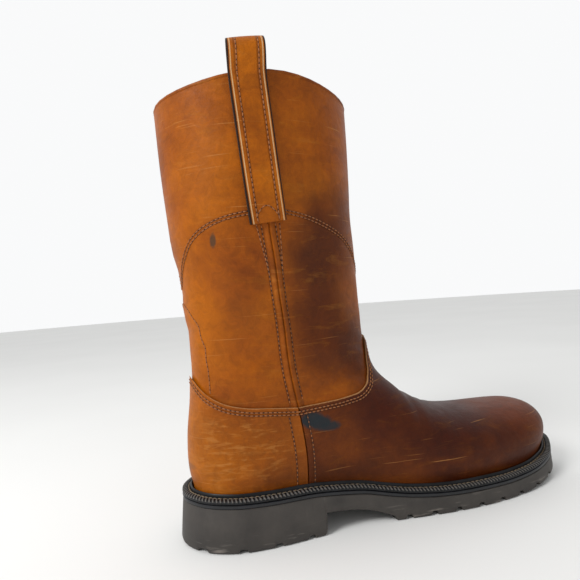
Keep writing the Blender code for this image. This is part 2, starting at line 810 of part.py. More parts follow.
def build():
    clear_scene()
    leather = make_material("tan_leather", TAN_LEATHER, 0.45)
    grey = make_material("grey_rubber", GREY_RUBBER, 0.8)
    black = make_material("black_rubber", BLACK_RUBBER, 0.4)
    board = make_material("insole_board", INSOLE_BOARD, 0.9)
    make_outsole(grey)
    make_layer("midsole", MIDSOLE_BASE, MIDSOLE_THICKNESS, 0.0, LAYER_ROUND, black)
    make_welt(black)
    make_layer("insole", WELT_BASE, INSOLE_THICKNESS, FOOT_OFFSET - WALL - 3 * GAP, GAP, board)
    Skin(0, LAST_ROW).shell("upper", -WALL, 0.0, leather)
    make_counter(leather)
    make_vamp(leather)
    for name, side in (("inner", -1), ("outer", 1)):
        make_side_seam("side_seam_" + name, side, leather)
        make_pull_strap("pull_strap_" + name, side, leather)
    make_collar_binding(leather)


build()
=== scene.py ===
"""Western work boot, left foot: oiled tan leather on a black storm welt and a grey rubber sole.

The sections follow the boot as it is put together, from the sole up to the pull straps and the thread. The
floor, the lights and the camera come last. Lengths are in millimetres until a mesh is made.
"""

import math

import bmesh
import bpy
import numpy as np
from mathutils import Matrix, Vector
from mathutils.bvhtree import BVHTree
from mathutils.kdtree import KDTree


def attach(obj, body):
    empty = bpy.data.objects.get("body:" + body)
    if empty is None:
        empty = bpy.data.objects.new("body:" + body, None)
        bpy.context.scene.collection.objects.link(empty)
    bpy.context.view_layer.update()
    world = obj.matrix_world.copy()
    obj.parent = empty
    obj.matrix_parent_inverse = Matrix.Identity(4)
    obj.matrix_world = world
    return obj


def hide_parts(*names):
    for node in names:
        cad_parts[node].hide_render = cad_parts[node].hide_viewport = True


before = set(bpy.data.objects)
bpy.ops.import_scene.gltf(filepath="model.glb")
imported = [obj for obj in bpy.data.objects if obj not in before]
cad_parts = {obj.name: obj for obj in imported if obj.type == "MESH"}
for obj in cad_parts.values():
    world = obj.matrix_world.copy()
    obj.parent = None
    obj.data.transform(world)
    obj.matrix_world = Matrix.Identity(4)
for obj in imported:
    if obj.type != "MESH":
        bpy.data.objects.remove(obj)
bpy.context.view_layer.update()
MM = 0.001

# Outsole: one moulded unit of grey-brown nitrile rubber with its heel, waist and tread bars. The mould
# leaves a matt skin, softly rounded edges and shallow cross grooves, and wear has left pale rubs low on the
# heel.

HEEL_BACK = -44.0
SOLE_LENGTH = 304.0
HEEL_BREAST = HEEL_BACK + 88.0
HEEL_HEIGHT = 28.0
FOREPART_THICKNESS = 11.0
BREAST_STEP = 14.4
TOE_SPRING = 9.0
SPRING_START = HEEL_BACK + 0.74 * SOLE_LENGTH
TREAD_START = HEEL_BACK + 0.455 * SOLE_LENGTH
TREAD_END = HEEL_BACK + 0.93 * SOLE_LENGTH
TREAD_DEPTH = 2.6
HEEL_GROOVE_DEPTH = 2.0
GROOVE_WIDTH = 4.4
HEEL_FLARE = 2.4
SOLE_OUTLINE = (
    (0.000, 0.0),
    (0.021, -18.7),
    (0.080, -32.4),
    (0.160, -37.4),
    (0.290, -37.5),
    (0.390, -38.7),
    (0.500, -44.9),
    (0.640, -50.5),
    (0.775, -49.4),
    (0.885, -41.5),
    (0.960, -25.9),
    (1.000, -4.3),
    (0.982, 16.1),
    (0.915, 34.0),
    (0.820, 47.1),
    (0.710, 54.8),
    (0.610, 56.5),
    (0.500, 51.4),
    (0.390, 42.3),
    (0.290, 38.1),
    (0.160, 37.4),
    (0.080, 32.4),
    (0.021, 18.7),
)
TOP_LINE = (
    (0.00, 1.00),
    (0.15, 0.90),
    (0.29, 0.80),
    (0.34, 0.69),
    (0.39, 0.56),
    (0.44, 0.36),
    (0.50, 0.17),
    (0.55, 0.07),
    (0.60, 0.02),
    (0.70, 0.00),
    (1.00, 0.00),
)


def smooth_run(xs, ys, at):
    """A smooth line through a short table of points, read at the given places."""
    slopes = np.gradient(ys, xs)
    i = np.clip(np.searchsorted(xs, at) - 1, 0, len(xs) - 2)
    step = xs[i + 1] - xs[i]
    t = (np.clip(at, xs[0], xs[-1]) - xs[i]) / step
    rise = ys[i + 1] - ys[i]
    start = slopes[i] * step
    end = slopes[i + 1] * step
    return ys[i] + t * (start + t * (3 * rise - 2 * start - end + t * (start + end - 2 * rise)))


def sole_top(x):
    """Height of the outsole's top face at x."""
    share, level = np.array(TOP_LINE).T
    over = HEEL_HEIGHT - FOREPART_THICKNESS
    return FOREPART_THICKNESS + spring(x) + over * smooth_run(share, level, (x - HEEL_BACK) / SOLE_LENGTH)


def spring(x):
    run = np.maximum(np.asarray(x, float) - SPRING_START, 0) / (HEEL_BACK + SOLE_LENGTH - SPRING_START)
    return TOE_SPRING * run**1.8


def link(name, data):
    obj = bpy.data.objects.new(name, data)
    bpy.context.scene.collection.objects.link(obj)
    return obj


def outline_ring():
    """The sole's edge as a dense ring, from a closed curve through its points, and its outward normals."""
    curve = bpy.data.curves.new("sole_outline", "CURVE")
    spline = curve.splines.new("BEZIER")
    spline.bezier_points.add(len(SOLE_OUTLINE) - 1)
    spline.use_cyclic_u = True
    spline.resolution_u = 16
    for point, (share, y) in zip(spline.bezier_points, SOLE_OUTLINE):
        point.co = (HEEL_BACK + share * SOLE_LENGTH, y, 0)
        point.handle_left_type = point.handle_right_type = "AUTO"
    holder = link("sole_outline", curve)
    bpy.context.view_layer.update()
    mesh = holder.to_mesh()
    ring = np.array([v.co[:2] for v in mesh.vertices])
    holder.to_mesh_clear()
    bpy.data.objects.remove(holder)
    bpy.data.curves.remove(curve)
    along = np.roll(ring, -1, axis=0) - np.roll(ring, 1, axis=0)
    out = np.stack([along[:, 1], -along[:, 0]], axis=1)
    return ring, out / np.linalg.norm(out, axis=1)[:, None]


RING, RING_OUT = outline_ring()
ring_tree = KDTree(len(RING))
for index, point in enumerate(RING):
    ring_tree.insert((*point, 0), index)
ring_tree.balance()


def layer(base_offset, cuts, bottom, top, wall):
    """A sole layer: the outline as a flat face, sliced across, then drawn up into a wall of several steps.

    bottom and top give heights at x, and each row of wall is a share of the height and an offset at x."""
    bm = bmesh.new()
    start = [bm.verts.new((*(point + base_offset * out), 0)) for point, out in zip(RING, RING_OUT)]
    bm.faces.new(start)
    for x in cuts:
        geometry = bm.verts[:] + bm.edges[:] + bm.faces[:]
        bmesh.ops.bisect_plane(bm, geom=geometry, dist=1e-4, plane_co=(x, 0, 0), plane_no=(1, 0, 0))
    floor = set(bm.verts)
    moved = bmesh.ops.extrude_face_region(bm, geom=bm.faces[:])["geom"]
    roof = [v for v in moved if isinstance(v, bmesh.types.BMVert)]
    bmesh.ops.translate(bm, verts=roof, vec=(0, 0, 1))
    upright = [e for e in bm.edges if abs(e.verts[0].co.z - e.verts[1].co.z) > 0.5]
    bmesh.ops.subdivide_edges(bm, edges=upright, cuts=len(wall) - 2, use_grid_fill=True)
    bmesh.ops.recalc_face_normals(bm, faces=bm.faces)
    edge = {v for v in bm.verts if any(abs(f.normal.z) < 0.5 for f in v.link_faces)}
    places = {}
    for v in bm.verts:
        x = v.co.x
        step = round(v.co.z * (len(wall) - 1))
        share, offset = wall[step]
        low = bottom(x)
        height = low + share * (top(x) - low)
        place = Vector((v.co.x, v.co.y, height))
        if v in edge:
            _, index, _ = ring_tree.find((v.co.x, v.co.y, 0))
            normal = RING_OUT[index]
            shift = offset(x) - base_offset
            place.x += shift * normal[0]
            place.y += shift * normal[1]
        places[v] = place
    for v, place in places.items():
        v.co = place * MM
    return bm


def set_sockets(tree, node, sockets):
    """Sets a node's sockets by name or number, with a value or with an output to link."""
    for key, value in sockets.items():
        if isinstance(value, bpy.types.NodeSocket):
            tree.links.new(value, node.inputs[key])
        else:
            node.inputs[key].default_value = value


def add_node(tree, kind, sockets=None, **settings):
    """Adds a shader node with its sockets and settings."""
    node = tree.nodes.new("ShaderNode" + kind)
    for name, value in settings.items():
        setattr(node, name, value)
    set_sockets(tree, node, sockets or {})
    return node


def noise(tree, place, scale, detail=2.0, roughness=0.5, distortion=0.0):
    shape = {"Detail": detail, "Roughness": roughness, "Distortion": distortion}
    return add_node(tree, "TexNoise", {"Vector": place, "Scale": scale, **shape}).outputs["Fac"]


def stretched(tree, place, turn, scale, detail, roughness=0.5, distortion=0.0):
    """Noise turned and drawn out along one way, for streaks, scratches and strokes."""
    lie = add_node(tree, "Mapping", {"Vector": place, "Rotation": turn, "Scale": scale}).outputs[0]
    return noise(tree, lie, 1.0, detail, roughness, distortion)


def span(tree, value, low, high, to_low=0.0, to_high=1.0, kind="LINEAR"):
    """A value carried from one span to another and held inside it."""
    sockets = {"Value": value, "From Min": low, "From Max": high, "To Min": to_low, "To Max": to_high}
    return add_node(tree, "MapRange", sockets, interpolation_type=kind).outputs[0]


def reckon(tree, operation, *values):
    return add_node(tree, "Math", dict(enumerate(values)), operation=operation).outputs[0]


def linear(hex_colour):
    """An sRGB hex value as linear colour."""
    channels = [int(hex_colour[i : i + 2], 16) / 255 for i in (1, 3, 5)]
    return (*[c / 12.92 if c < 0.04045 else ((c + 0.055) / 1.055) ** 2.4 for c in channels], 1.0)


def lay_over(tree, share, base, hex_colour):
    """A colour laid over another, as strongly as the share says."""
    return add_node(tree, "MixRGB", {0: share, 1: base, 2: linear(hex_colour)}).outputs[0]


def tone_of(tree, share, *steps):
    """The colour at a share of a run of colours. Each step is a position and a colour."""
    node = add_node(tree, "ValToRGB", {"Fac": share})
    elements = node.color_ramp.elements
    while len(elements) < len(steps):
        elements.new(0.5)
    for element, (position, hex_colour) in zip(elements, steps):
        element.position = position
        element.color = linear(hex_colour)
    return node.outputs[0]


def new_material(name):
    """A new material, its nodes, and the place on the piece, where its patterns are drawn."""
    material = bpy.data.materials.new(name)
    material.use_nodes = True
    tree = material.node_tree
    return material, tree, add_node(tree, "TexCoord").outputs["Object"]


def dress(tree, colour, rough, relief=None, strength=0.0, depth=0.0, mirror=0.5):
    """Gives the surface its colour, roughness, fine relief (depth in metres) and strength of reflections."""
    values = {"Base Color": colour, "Roughness": rough, "Specular IOR Level": mirror}
    if relief:
        bump = add_node(tree, "Bump", {"Height": relief, "Strength": strength, "Distance": depth})
        values["Normal"] = bump.outputs[0]
    set_sockets(tree, tree.nodes["Principled BSDF"], values)


def mesh_of(bm, name):
    mesh = bpy.data.meshes.new(name)
    bm.to_mesh(mesh)
    bm.free()
    return mesh


def finish_piece(bm, name, materials, node=None):
    """Makes the mesh a piece that rides with the boot and stands for a CAD node, where one is named."""
    mesh = mesh_of(bm, name)
    mesh.shade_smooth()
    mesh.set_sharp_from_angle(angle=math.radians(40))
    for material in materials:
        mesh.materials.append(material)
    obj = link(name, mesh)
    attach(obj, "root")
    if node:
        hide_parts(node)


def moulded_rubber():
    """Nitrile rubber, moulded: matt grey-brown, with faint clouds, fine pores and pale rubs low down."""
    material, tree, place = new_material("moulded_nitrile_rubber")
    cloud = noise(tree, place, 38.0, 5.0, 0.6)
    base = tone_of(tree, cloud, (0.30, "#2f2b28"), (0.72, "#47423d"))
    rub = span(tree, stretched(tree, place, (0.0, 0.0, 0.0), (55.0, 55.0, 420.0), 4.0), 0.60, 0.74)
    height = add_node(tree, "SeparateXYZ", {"Vector": place}).outputs["Z"]
    low = span(tree, height, 0.013, 0.002, 0.0, 0.75)
    worn = lay_over(tree, reckon(tree, "MULTIPLY", rub, low), base, "#8a827a")
    relief = reckon(tree, "ADD", noise(tree, place, 1500.0), cloud)
    dress(tree, worn, span(tree, cloud, 0.0, 1.0, 0.56, 0.74), relief, 0.25, 0.0002)
    return material


def make_outsole():
    under = []
    for start, end, count, depth in (
        (HEEL_BACK, HEEL_BREAST, 4, HEEL_GROOVE_DEPTH),
        (TREAD_START, TREAD_END, 8, TREAD_DEPTH),
    ):
        pitch = (end - start) / count
        if depth == TREAD_DEPTH:
            for share in np.linspace(0.03, 0.985, 14):
                x = HEEL_BREAST + share * (TREAD_START - HEEL_BREAST)
                arch = float(sole_top(x) - sole_top(HEEL_BREAST)) + BREAST_STEP
                under.append((x, arch + (TREAD_DEPTH - arch) * share**6))
            under.append((TREAD_START + 0.4, 0.0))
        for i in range(count):
            middle = start + (i + 0.5) * pitch
            half = GROOVE_WIDTH / 2
            under += [(middle - half - 0.5, 0.0), (middle - half, 0.55 * depth), (middle - half + 0.6, depth)]
            under += [(middle + half - 0.6, depth), (middle + half, 0.55 * depth), (middle + half + 0.5, 0.0)]
        if depth == HEEL_GROOVE_DEPTH:
            rounding = ((-2.6, 0.0), (-1.2, 0.4), (-0.4, 1.3), (0.0, 3.0), (0.3, BREAST_STEP))
            under += [(end + gone, height) for gone, height in rounding]
    xs, heights = np.array(under).T
    cuts = list(xs) + list(np.linspace(HEEL_BACK + 3, HEEL_BACK + SOLE_LENGTH - 3, 60))

    def bottom(x):
        return float(np.interp(x, xs, heights) + spring(x))

    def flare(x):
        return HEEL_FLARE * float(np.interp(x, (HEEL_BREAST, HEEL_BREAST + 14), (1.0, 0.25)))

    wall = (
        (0.0, lambda x: flare(x) - 1.8),
        (0.02, lambda x: flare(x) - 0.9),
        (0.05, lambda x: flare(x) - 0.25),
        (0.09, lambda x: flare(x)),
        (0.5, lambda x: 0.55 * flare(x)),
        (0.95, lambda x: 0.0),
        (1.0, lambda x: -0.6),
    )
    bm = layer(-1.8, cuts, bottom, lambda x: float(sole_top(x)), wall)
    finish_piece(bm, "rubber_outsole", [moulded_rubber()], "outsole")


make_outsole()

# Midsole: a thin black rubber layer between the outsole and the welt. Its edge is trimmed flush with the
# welt and dressed with black edge ink, so the two read as one smooth blue-black band.

MIDSOLE_BASE = 0.3
MIDSOLE_THICKNESS = 2.4
# The edge's section. Columns: share of the height, how far it stands out.
MIDSOLE_WALL = ((0.0, -0.5), (0.15, 0.0), (0.5, 0.15), (0.85, 0.0), (1.0, -0.5))


def edge_ink():
    """Black edge ink over rubber: smooth, faintly blue, with a low waxed shine and a few rubs."""
    material, tree, place = new_material("black_edge_ink")
    cloud = noise(tree, place, 120.0, 6.0, 0.65)
    tone = tone_of(tree, cloud, (0.35, "#0c0d10"), (0.78, "#202227"))
    dress(tree, tone, span(tree, cloud, 0.0, 1.0, 0.34, 0.55), cloud, 0.2, 0.0002)
    return material


def make_midsole():
    def bottom(x):
        return float(sole_top(x)) + MIDSOLE_BASE

    def top(x):
        return bottom(x) + MIDSOLE_THICKNESS

    wall = [(share, lambda x, out=out: out) for share, out in MIDSOLE_WALL]
    cuts = np.linspace(HEEL_BACK + 3, HEEL_BACK + SOLE_LENGTH - 3, 60)
    midsole = layer(-0.5, cuts, bottom, top, wall)
    finish_piece(midsole, "rubber_midsole", [edge_ink()], "midsole")


make_midsole()

# Storm welt: a black rubber strip sewn right round the upper. It has a raised bead against the leather, a
# groove with the tan lock stitch that holds the sole, a top wheeled into slanted teeth, and a dressed outer
# edge.

WELT_BASE = MIDSOLE_BASE + MIDSOLE_THICKNESS + 0.3
# The real teeth are about 1.6 mm apart, too fine to show, so they are drawn coarser.
TOOTH_PITCH = 2.6
TOOTH_DEPTH = 0.6
TOOTH_SLANT = 0.12
TOOTH_POINTS = 6
GROOVE_AT = -4.3
THREAD_HEIGHT = 2.35
STITCH_PITCH = 3.7
# A stitch's length and width.
WELT_STITCH = (3.2, 0.95)
# The welt's section. Columns: how far out of the sole's edge, height.
WELT_PROFILE = (
    (-0.5, 0.0),
    (0.0, 0.4),
    (0.12, 1.0),
    (0.05, 1.5),
    (-0.25, 2.0),
    (-0.7, 2.45),
    (-1.6, 2.8),
    (-2.9, 3.0),
    (-3.3, 2.75),
    (-3.7, 2.1),
    (-4.9, 2.1),
    (-5.15, 3.0),
    (-5.3, 4.0),
    (-5.8, 4.6),
    (-6.4, 4.5),
    (-6.6, 3.9),
    (-6.6, 0.0),
)
WELT_ACROSS = np.concatenate([[0], np.cumsum(np.linalg.norm(np.diff(WELT_PROFILE, axis=0), axis=1))])
# How far across the profile the teeth start, are whole, begin to end and have ended.
TOOTH_BAND = (1.7, 2.0, 5.1, 5.5)
RING_RUN = np.concatenate([[0], np.cumsum(np.linalg.norm(np.roll(RING, -1, axis=0) - RING, axis=1))])


def even_ring(count):
    """The sole's edge and its outward directions again, as points at an even pitch."""
    places = np.linspace(0, RING_RUN[-1], count, endpoint=False)
    closed = [np.vstack([table, table[:1]]) for table in (RING, RING_OUT)]
    return [np.stack([np.interp(places, RING_RUN, axis) for axis in table.T], axis=1) for table in closed]


def along_welt(ring, ring_out, offset, height):
    """Points of the welt over a ring. Offset and height are in millimetres, one for all or one for each."""
    flat = ring + np.reshape(offset, (-1, 1)) * ring_out
    heights = sole_top(flat[:, 0]) + WELT_BASE + height
    return [Vector((x, y, z)) * MM for (x, y), z in zip(flat, heights)]


def loop_edges(bm, ring):
    return [bm.edges.get(pair) for pair in zip(ring, ring[1:] + ring[:1])]


def drawn_rings(bm, count, steps):
    """A circle of points drawn out step by step. Gives each ring's points, in step with one another."""
    rings = [list(bmesh.ops.create_circle(bm, segments=count, radius=1.0)["verts"])]
    for _ in range(steps - 1):
        ends = rings[-1]
        drawn = set(bmesh.ops.extrude_edge_only(bm, edges=loop_edges(bm, ends))["geom"])
        rings.append([next(e.other_vert(v) for e in v.link_edges if e.other_vert(v) in drawn) for v in ends])
    return rings


def wheeled_rubber():
    """Black rubber welt: a wheel has pressed slanted teeth into its top. Dust and a painted highlight pale
    the crests, and painted shade darkens the hollows.
    """
    material, tree, place = new_material("wheeled_welt_rubber")
    chart = add_node(tree, "TexCoord").outputs["UV"]
    parts = add_node(tree, "SeparateXYZ", {"Vector": chart}).outputs
    run = reckon(tree, "MULTIPLY_ADD", parts["Y"], TOOTH_SLANT, parts["X"])
    wave = reckon(tree, "SINE", reckon(tree, "MULTIPLY", run, 2 * math.pi))
    low, whole, ending, high = TOOTH_BAND
    band = reckon(tree, "MULTIPLY", span(tree, parts["Y"], low, whole), span(tree, parts["Y"], high, ending))
    teeth = reckon(tree, "MULTIPLY", wave, band)
    tone = tone_of(tree, noise(tree, place, 150.0, 5.0), (0.35, "#0b0c0e"), (0.75, "#1c1d21"))
    # Paler crests: dust and painted highlight. Nearly black hollows between the teeth: painted shade.
    crest_dust_and_highlight = lay_over(tree, span(tree, teeth, 0.0, 0.7, 0.0, 0.7), tone, "#6f6a64")
    cut = lay_over(tree, span(tree, teeth, 0.0, -0.6), crest_dust_and_highlight, "#030304")
    dress(tree, cut, 0.42, teeth, 0.5, 0.0001, 0.28)
    return material


def make_welt():
    bm = bmesh.new()
    count = round(RING_RUN[-1] / TOOTH_PITCH) * TOOTH_POINTS
    turns = 2 * math.pi * (np.arange(count) / TOOTH_POINTS)
    slopes = np.gradient(np.array(WELT_PROFILE), axis=0)
    slopes /= np.linalg.norm(slopes, axis=1)[:, None]
    rings = drawn_rings(bm, count, len(WELT_PROFILE))
    even = even_ring(count)
    place_of = {}
    for ring, (offset, height), across, slope in zip(rings, WELT_PROFILE, WELT_ACROSS, slopes):
        band = np.interp(across, TOOTH_BAND, (0, 1, 1, 0))
        lifts = TOOTH_DEPTH / 2 * band * np.tanh(2 * np.sin(turns + 2 * math.pi * TOOTH_SLANT * across))
        points = along_welt(*even, offset + slope[1] * lifts, height - slope[0] * lifts)
        for i, (v, point) in enumerate(zip(ring, points)):
            v.co = point
            place_of[v] = (i, float(across))
    bmesh.ops.bridge_loops(bm, edges=loop_edges(bm, rings[-1]) + loop_edges(bm, rings[0]))
    bmesh.ops.recalc_face_normals(bm, faces=bm.faces)
    chart = bm.loops.layers.uv.new("round_and_across")
    for face in bm.faces:
        indices = [place_of[v][0] for v in face.verts]
        wraps = max(indices) - min(indices) > count / 2
        for loop in face.loops:
            i, across = place_of[loop.vert]
            if wraps and i == 0:
                i = count
            loop[chart].uv = (i / TOOTH_POINTS, across)
    finish_piece(bm, "storm_welt", [wheeled_rubber()], "welt")


def sewing_thread(name, light, dark):
    """Waxed polyester thread, twisted and a little soiled: a soft sheen and small darker patches."""
    material, tree, place = new_material(name)
    tone = tone_of(tree, noise(tree, place, 260.0, 3.0), (0.0, dark), (1.0, light))
    dress(tree, tone, 0.6, mirror=0.2)
    return material


def thread_capsule():
    """One short length of thread, a unit capsule of a few dozen faces, repeated for every stitch."""
    bm = bmesh.new()
    bmesh.ops.create_uvsphere(bm, u_segments=8, v_segments=5, radius=0.5)
    return mesh_of(bm, "thread_capsule")


CAPSULE = thread_capsule()


def lay_stitch(bm, point, ahead, normal, length, width):
    """One capsule of thread on a surface, along the row."""
    side = normal.cross(ahead).normalized()
    up = ahead.cross(side).normalized()
    turn = Matrix((ahead.normalized(), side, up)).transposed().to_4x4()
    size = Matrix.Diagonal((length * MM, width * MM, width * MM, 1))
    piece = CAPSULE.copy()
    piece.transform(Matrix.Translation(point) @ turn @ size)
    bm.from_mesh(piece)
    bpy.data.meshes.remove(piece)


def make_welt_thread():
    bm = bmesh.new()
    count = round(RING_RUN[-1] / STITCH_PITCH)
    points = along_welt(*even_ring(count), GROOVE_AT, THREAD_HEIGHT)
    for i, point in enumerate(points):
        ahead = points[(i + 1) % count] - points[i - 1]
        lay_stitch(bm, point, ahead, Vector((0, 0, 1)), *WELT_STITCH)
    finish_piece(bm, "welt_thread", [sewing_thread("waxed_welt_thread", "#a08c70", "#5c4d3c")])


make_welt()
make_welt_thread()

# Insole: a leather-covered footbed board inside the boot, pale and a little soiled where the foot rests.


def footbed():
    """Pigskin-covered footbed: pale tan and matt, with fine pores and darker soiled clouds."""
    material, tree, place = new_material("pigskin_footbed")
    tone = tone_of(tree, noise(tree, place, 30.0, 6.0), (0.0, "#7a6045"), (1.0, "#b3946d"))
    pores = add_node(tree, "TexVoronoi", {"Vector": place, "Scale": 700.0}).outputs["Distance"]
    dress(tree, tone, 0.8, pores, 0.3, 0.0003)
    return material


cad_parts["insole"].data.materials.clear()
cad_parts["insole"].data.materials.append(footbed())

# Upper: shaft and foot in oiled full-grain cowhide, about 2 mm thick, drawn over the last. It is open at the
# collar and under the foot. The wearer has pressed soft dents and creases into the shaft and ankle.

AXIS_X = 22.0
WALL = 2.2
RIM_LIFT = 0.9
# Creases and dents of the shaft and foot. Columns: degrees round from the centre back (inner side negative),
# height, half its length, degrees from level, half its width, depth (a ridge is negative).
CREASES = (
    (-20, 128, 26, 8, 4.0, 0.9),
    (-55, 118, 22, -12, 4.5, 0.7),
    (-6, 142, 26, 4, 4.0, 1.0),
    (12, 136, 24, -6, 3.5, 1.0),
    (30, 165, 34, 5, 4.0, 1.0),
    (25, 146, 20, -14, 3.5, 0.7),
    (-150, 103, 20, 24, 3.4, 1.0),
    (-140, 112, 22, 30, 3.8, 1.1),
    (-158, 124, 18, 20, 4.0, 1.1),
    (-122, 96, 14, 14, 3.0, 0.6),
    (150, 104, 20, 24, 3.4, 1.1),
    (138, 116, 24, 30, 4.0, 1.2),
    (160, 130, 16, 18, 4.0, 1.0),
    (-130, 178, 30, 62, 14.0, 2.2),
    (-115, 150, 26, 48, 12.0, 1.8),
    (-148, 150, 24, 70, 10.0, -1.5),
    (-60, 170, 30, -55, 16.0, -1.4),
    (-38, 150, 26, 70, 12.0, 1.4),
    (45, 182, 30, 12, 16.0, 2.2),
    (95, 165, 24, 60, 14.0, 1.6),
    (70, 130, 26, 40, 12.0, -1.2),
    (0, 176, 22, 0, 12.0, 1.3),
    (-40, 205, 30, 20, 16.0, -1.0),
    (-120, 232, 30, 70, 16.0, 1.2),
    (-30, 250, 30, -70, 16.0, 1.2),
    (140, 250, 34, 75, 18.0, 1.3),
    (170, 210, 30, 10, 14.0, 1.1),
)
# Flex creases across the foot. Columns: x at the inner end, x at the outer end, half width, depth.
FLEX = ((132, 141, 3.2, 0.7), (146, 152, 3.6, 0.9), (160, 160, 3.2, 0.6), (120, 128, 3.5, 0.5))


def cad_copy(node):
    """A copy of a CAD node's mesh, with its loose triangles merged and paired back into quads."""
    bm = bmesh.new()
    bm.from_mesh(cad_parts[node].data)
    bmesh.ops.remove_doubles(bm, verts=bm.verts, dist=1e-5)
    bmesh.ops.join_triangles(bm, faces=bm.faces, angle_face_threshold=0.8, angle_shape_threshold=0.8)
    return bm


def outer_skin():
    """The upper's outside alone, grown from a face at the toe over every edge that isn't a rim."""
    bm = cad_copy("upper")
    for face in bm.faces:
        face.tag = False
    seed = max(bm.faces, key=lambda face: face.calc_center_median().x)
    seed.tag = True
    front = [seed]
    while front:
        face = front.pop()
        for edge in face.edges:
            if len(edge.link_faces) == 2 and edge.calc_face_angle() < 0.9:
                for other in edge.link_faces:
                    if not other.tag:
                        other.tag = True
                        front.append(other)
    bmesh.ops.delete(bm, geom=[face for face in bm.faces if not face.tag], context="FACES")
    return bm


def two_slot_mesh(bm, name):
    """A mesh with two empty material slots, so that modifiers can give faces the second one."""
    mesh = mesh_of(bm, name)
    for empty_slot in (None, None):
        mesh.materials.append(empty_slot)
    return mesh


def through_modifiers(bm, name, *modifiers):
    """Passes a mesh through modifiers, each given as a kind and its settings, and takes the result."""
    mesh = two_slot_mesh(bm, name)
    holder = link(name, mesh)
    for kind, settings in modifiers:
        modifier = holder.modifiers.new(kind.lower(), kind)
        for key, value in settings.items():
            setattr(modifier, key, value)
    bpy.context.view_layer.update()
    shaped = holder.evaluated_get(bpy.context.evaluated_depsgraph_get()).to_mesh()
    result = bmesh.new()
    result.from_mesh(shaped)
    bpy.data.objects.remove(holder)
    bpy.data.meshes.remove(mesh)
    return result


def trough(across, rim, shoulder):
    """The section of a soft trough with a low ridge each side."""
    ridges = np.exp(-((across - shoulder) ** 2)) + np.exp(-((across + shoulder) ** 2))
    return np.exp(-(across**2)) - rim * ridges


def press_creases(bm):
    """Moves the skin in and out along soft troughs and ridges."""
    bm.normal_update()
    co = np.array([v.co for v in bm.verts]) / MM
    depth = np.zeros(len(co))
    angle = np.degrees(np.arctan2(co[:, 1], AXIS_X - co[:, 0]))
    radius = np.hypot(co[:, 1], co[:, 0] - AXIS_X)
    for turn, height, half_length, tilt, half_width, deep in CREASES:
        gone = (angle - turn + 180) % 360 - 180
        across = np.radians(gone) * radius
        up = co[:, 2] - height
        lean = math.radians(tilt)
        a = (math.cos(lean) * across + math.sin(lean) * up) / half_length
        b = (math.cos(lean) * up - math.sin(lean) * across) / half_width
        fade = np.exp(-(a**2) - 0.15 * (np.maximum(np.abs(gone) - 60, 0) / 10) ** 2)
        depth += deep * fade * trough(b, 0.35, 1.7)
    for inner_x, outer_x, half_width, deep in FLEX:
        share = np.clip((co[:, 1] + 45) / 95, 0, 1)
        middle = inner_x + share * (outer_x - inner_x) + 3 * np.sin(share * 7 + inner_x)
        b = (co[:, 0] - middle) / half_width
        fade = np.clip((co[:, 2] - 30) / 12, 0, 1) * (co[:, 2] < 90)
        depth += deep * fade * trough(b, 0.4, 1.8)
    # The skin keeps its place near the collar and near the welt.
    hold = np.clip((298 - co[:, 2]) / 25, 0, 1) * np.clip((co[:, 2] - 26) / 14, 0, 1)
    for v, d in zip(bm.verts, depth * hold):
        v.co = v.co - v.normal * (float(d) * MM)


skin = through_modifiers(outer_skin(), "skin", ("SUBSURF", {"levels": 2, "render_levels": 2}))
press_creases(skin)
for v in skin.verts:
    # The shaft's top edge reaches up into the fold of the binding.
    if v.is_boundary and v.co.z > 280 * MM:
        v.co.z += RIM_LIFT * MM
skin.normal_update()
skin_tree = BVHTree.FromBMesh(skin)


def hit_round(tree, turn, height):
    """The surface's point and normal at some degrees round the shaft from the centre back."""
    a = math.radians(turn)
    out = Vector((-math.cos(a), math.sin(a), 0))
    axis = Vector((AXIS_X * MM, 0, height * MM))
    point, normal, _, _ = tree.ray_cast(axis + 0.2 * out, -out)
    if point is None:
        return None
    return point, normal if normal.dot(out) > 0 else -normal


# Lines on the boot. The side seam: height, x. The panels' top edges: x, height.
SIDE_SEAM = (
    (15, 36.0),
    (60, 34.7),
    (86, 31.3),
    (110, 27.5),
    (140, 24.9),
    (170, 21.4),
    (200, 17.3),
    (298, 8.6),
)
COUNTER_TOP = (
    (-36.0, 113.0),
    (-35.4, 112.0),
    (-26.0, 98.5),
    (-17.0, 92.8),
    (-4.5, 89.2),
    (12.0, 87.2),
    (31.0, 85.0),
)
VAMP_TOP = (
    (32.5, 85.0),
    (50.0, 85.4),
    (68.0, 86.4),
    (82.0, 89.0),
    (88.5, 94.0),
    (91.3, 101.0),
    (92.8, 109.5),
    (94.3, 116.0),
    (96.0, 121.0),
    (97.4, 124.0),
    (98.6, 125.7),
    (100.0, 126.2),
)


def smooth_table(table, count=70):
    """A table of points drawn as a smooth line."""
    places = np.array(table, float)
    gone = np.concatenate([[0], np.cumsum(np.hypot(*np.diff(places, axis=0).T))])
    at = np.linspace(0, gone[-1], count)
    return np.stack([smooth_run(gone, column, at) for column in places.T], axis=1)


COUNTER_EDGE = smooth_table(COUNTER_TOP)
VAMP_EDGE = smooth_table(VAMP_TOP)
SEAM_HEIGHTS = np.linspace(15, 298, 284)
SEAM_XS = smooth_run(*np.array(SIDE_SEAM, float).T, SEAM_HEIGHTS)


def seam_x(height):
    return float(np.interp(height, SEAM_HEIGHTS, SEAM_XS))


def edge_line(tree, table, turns, low, high):
    """The top edge of a panel as points on the surface, found for each angle round the axis."""
    xs, heights = np.array(table).T
    line = []
    for turn in turns:
        bottom, top = low, high
        found = None
        for _ in range(16):
            middle = (bottom + top) / 2
            found = hit_round(tree, turn, middle)
            if found is None:
                break
            wanted = float(np.interp(found[0].x / MM, xs, heights))
            if middle < wanted:
                bottom = middle
            else:
                top = middle
        if found:
            line.append(found[0].copy())
    return line


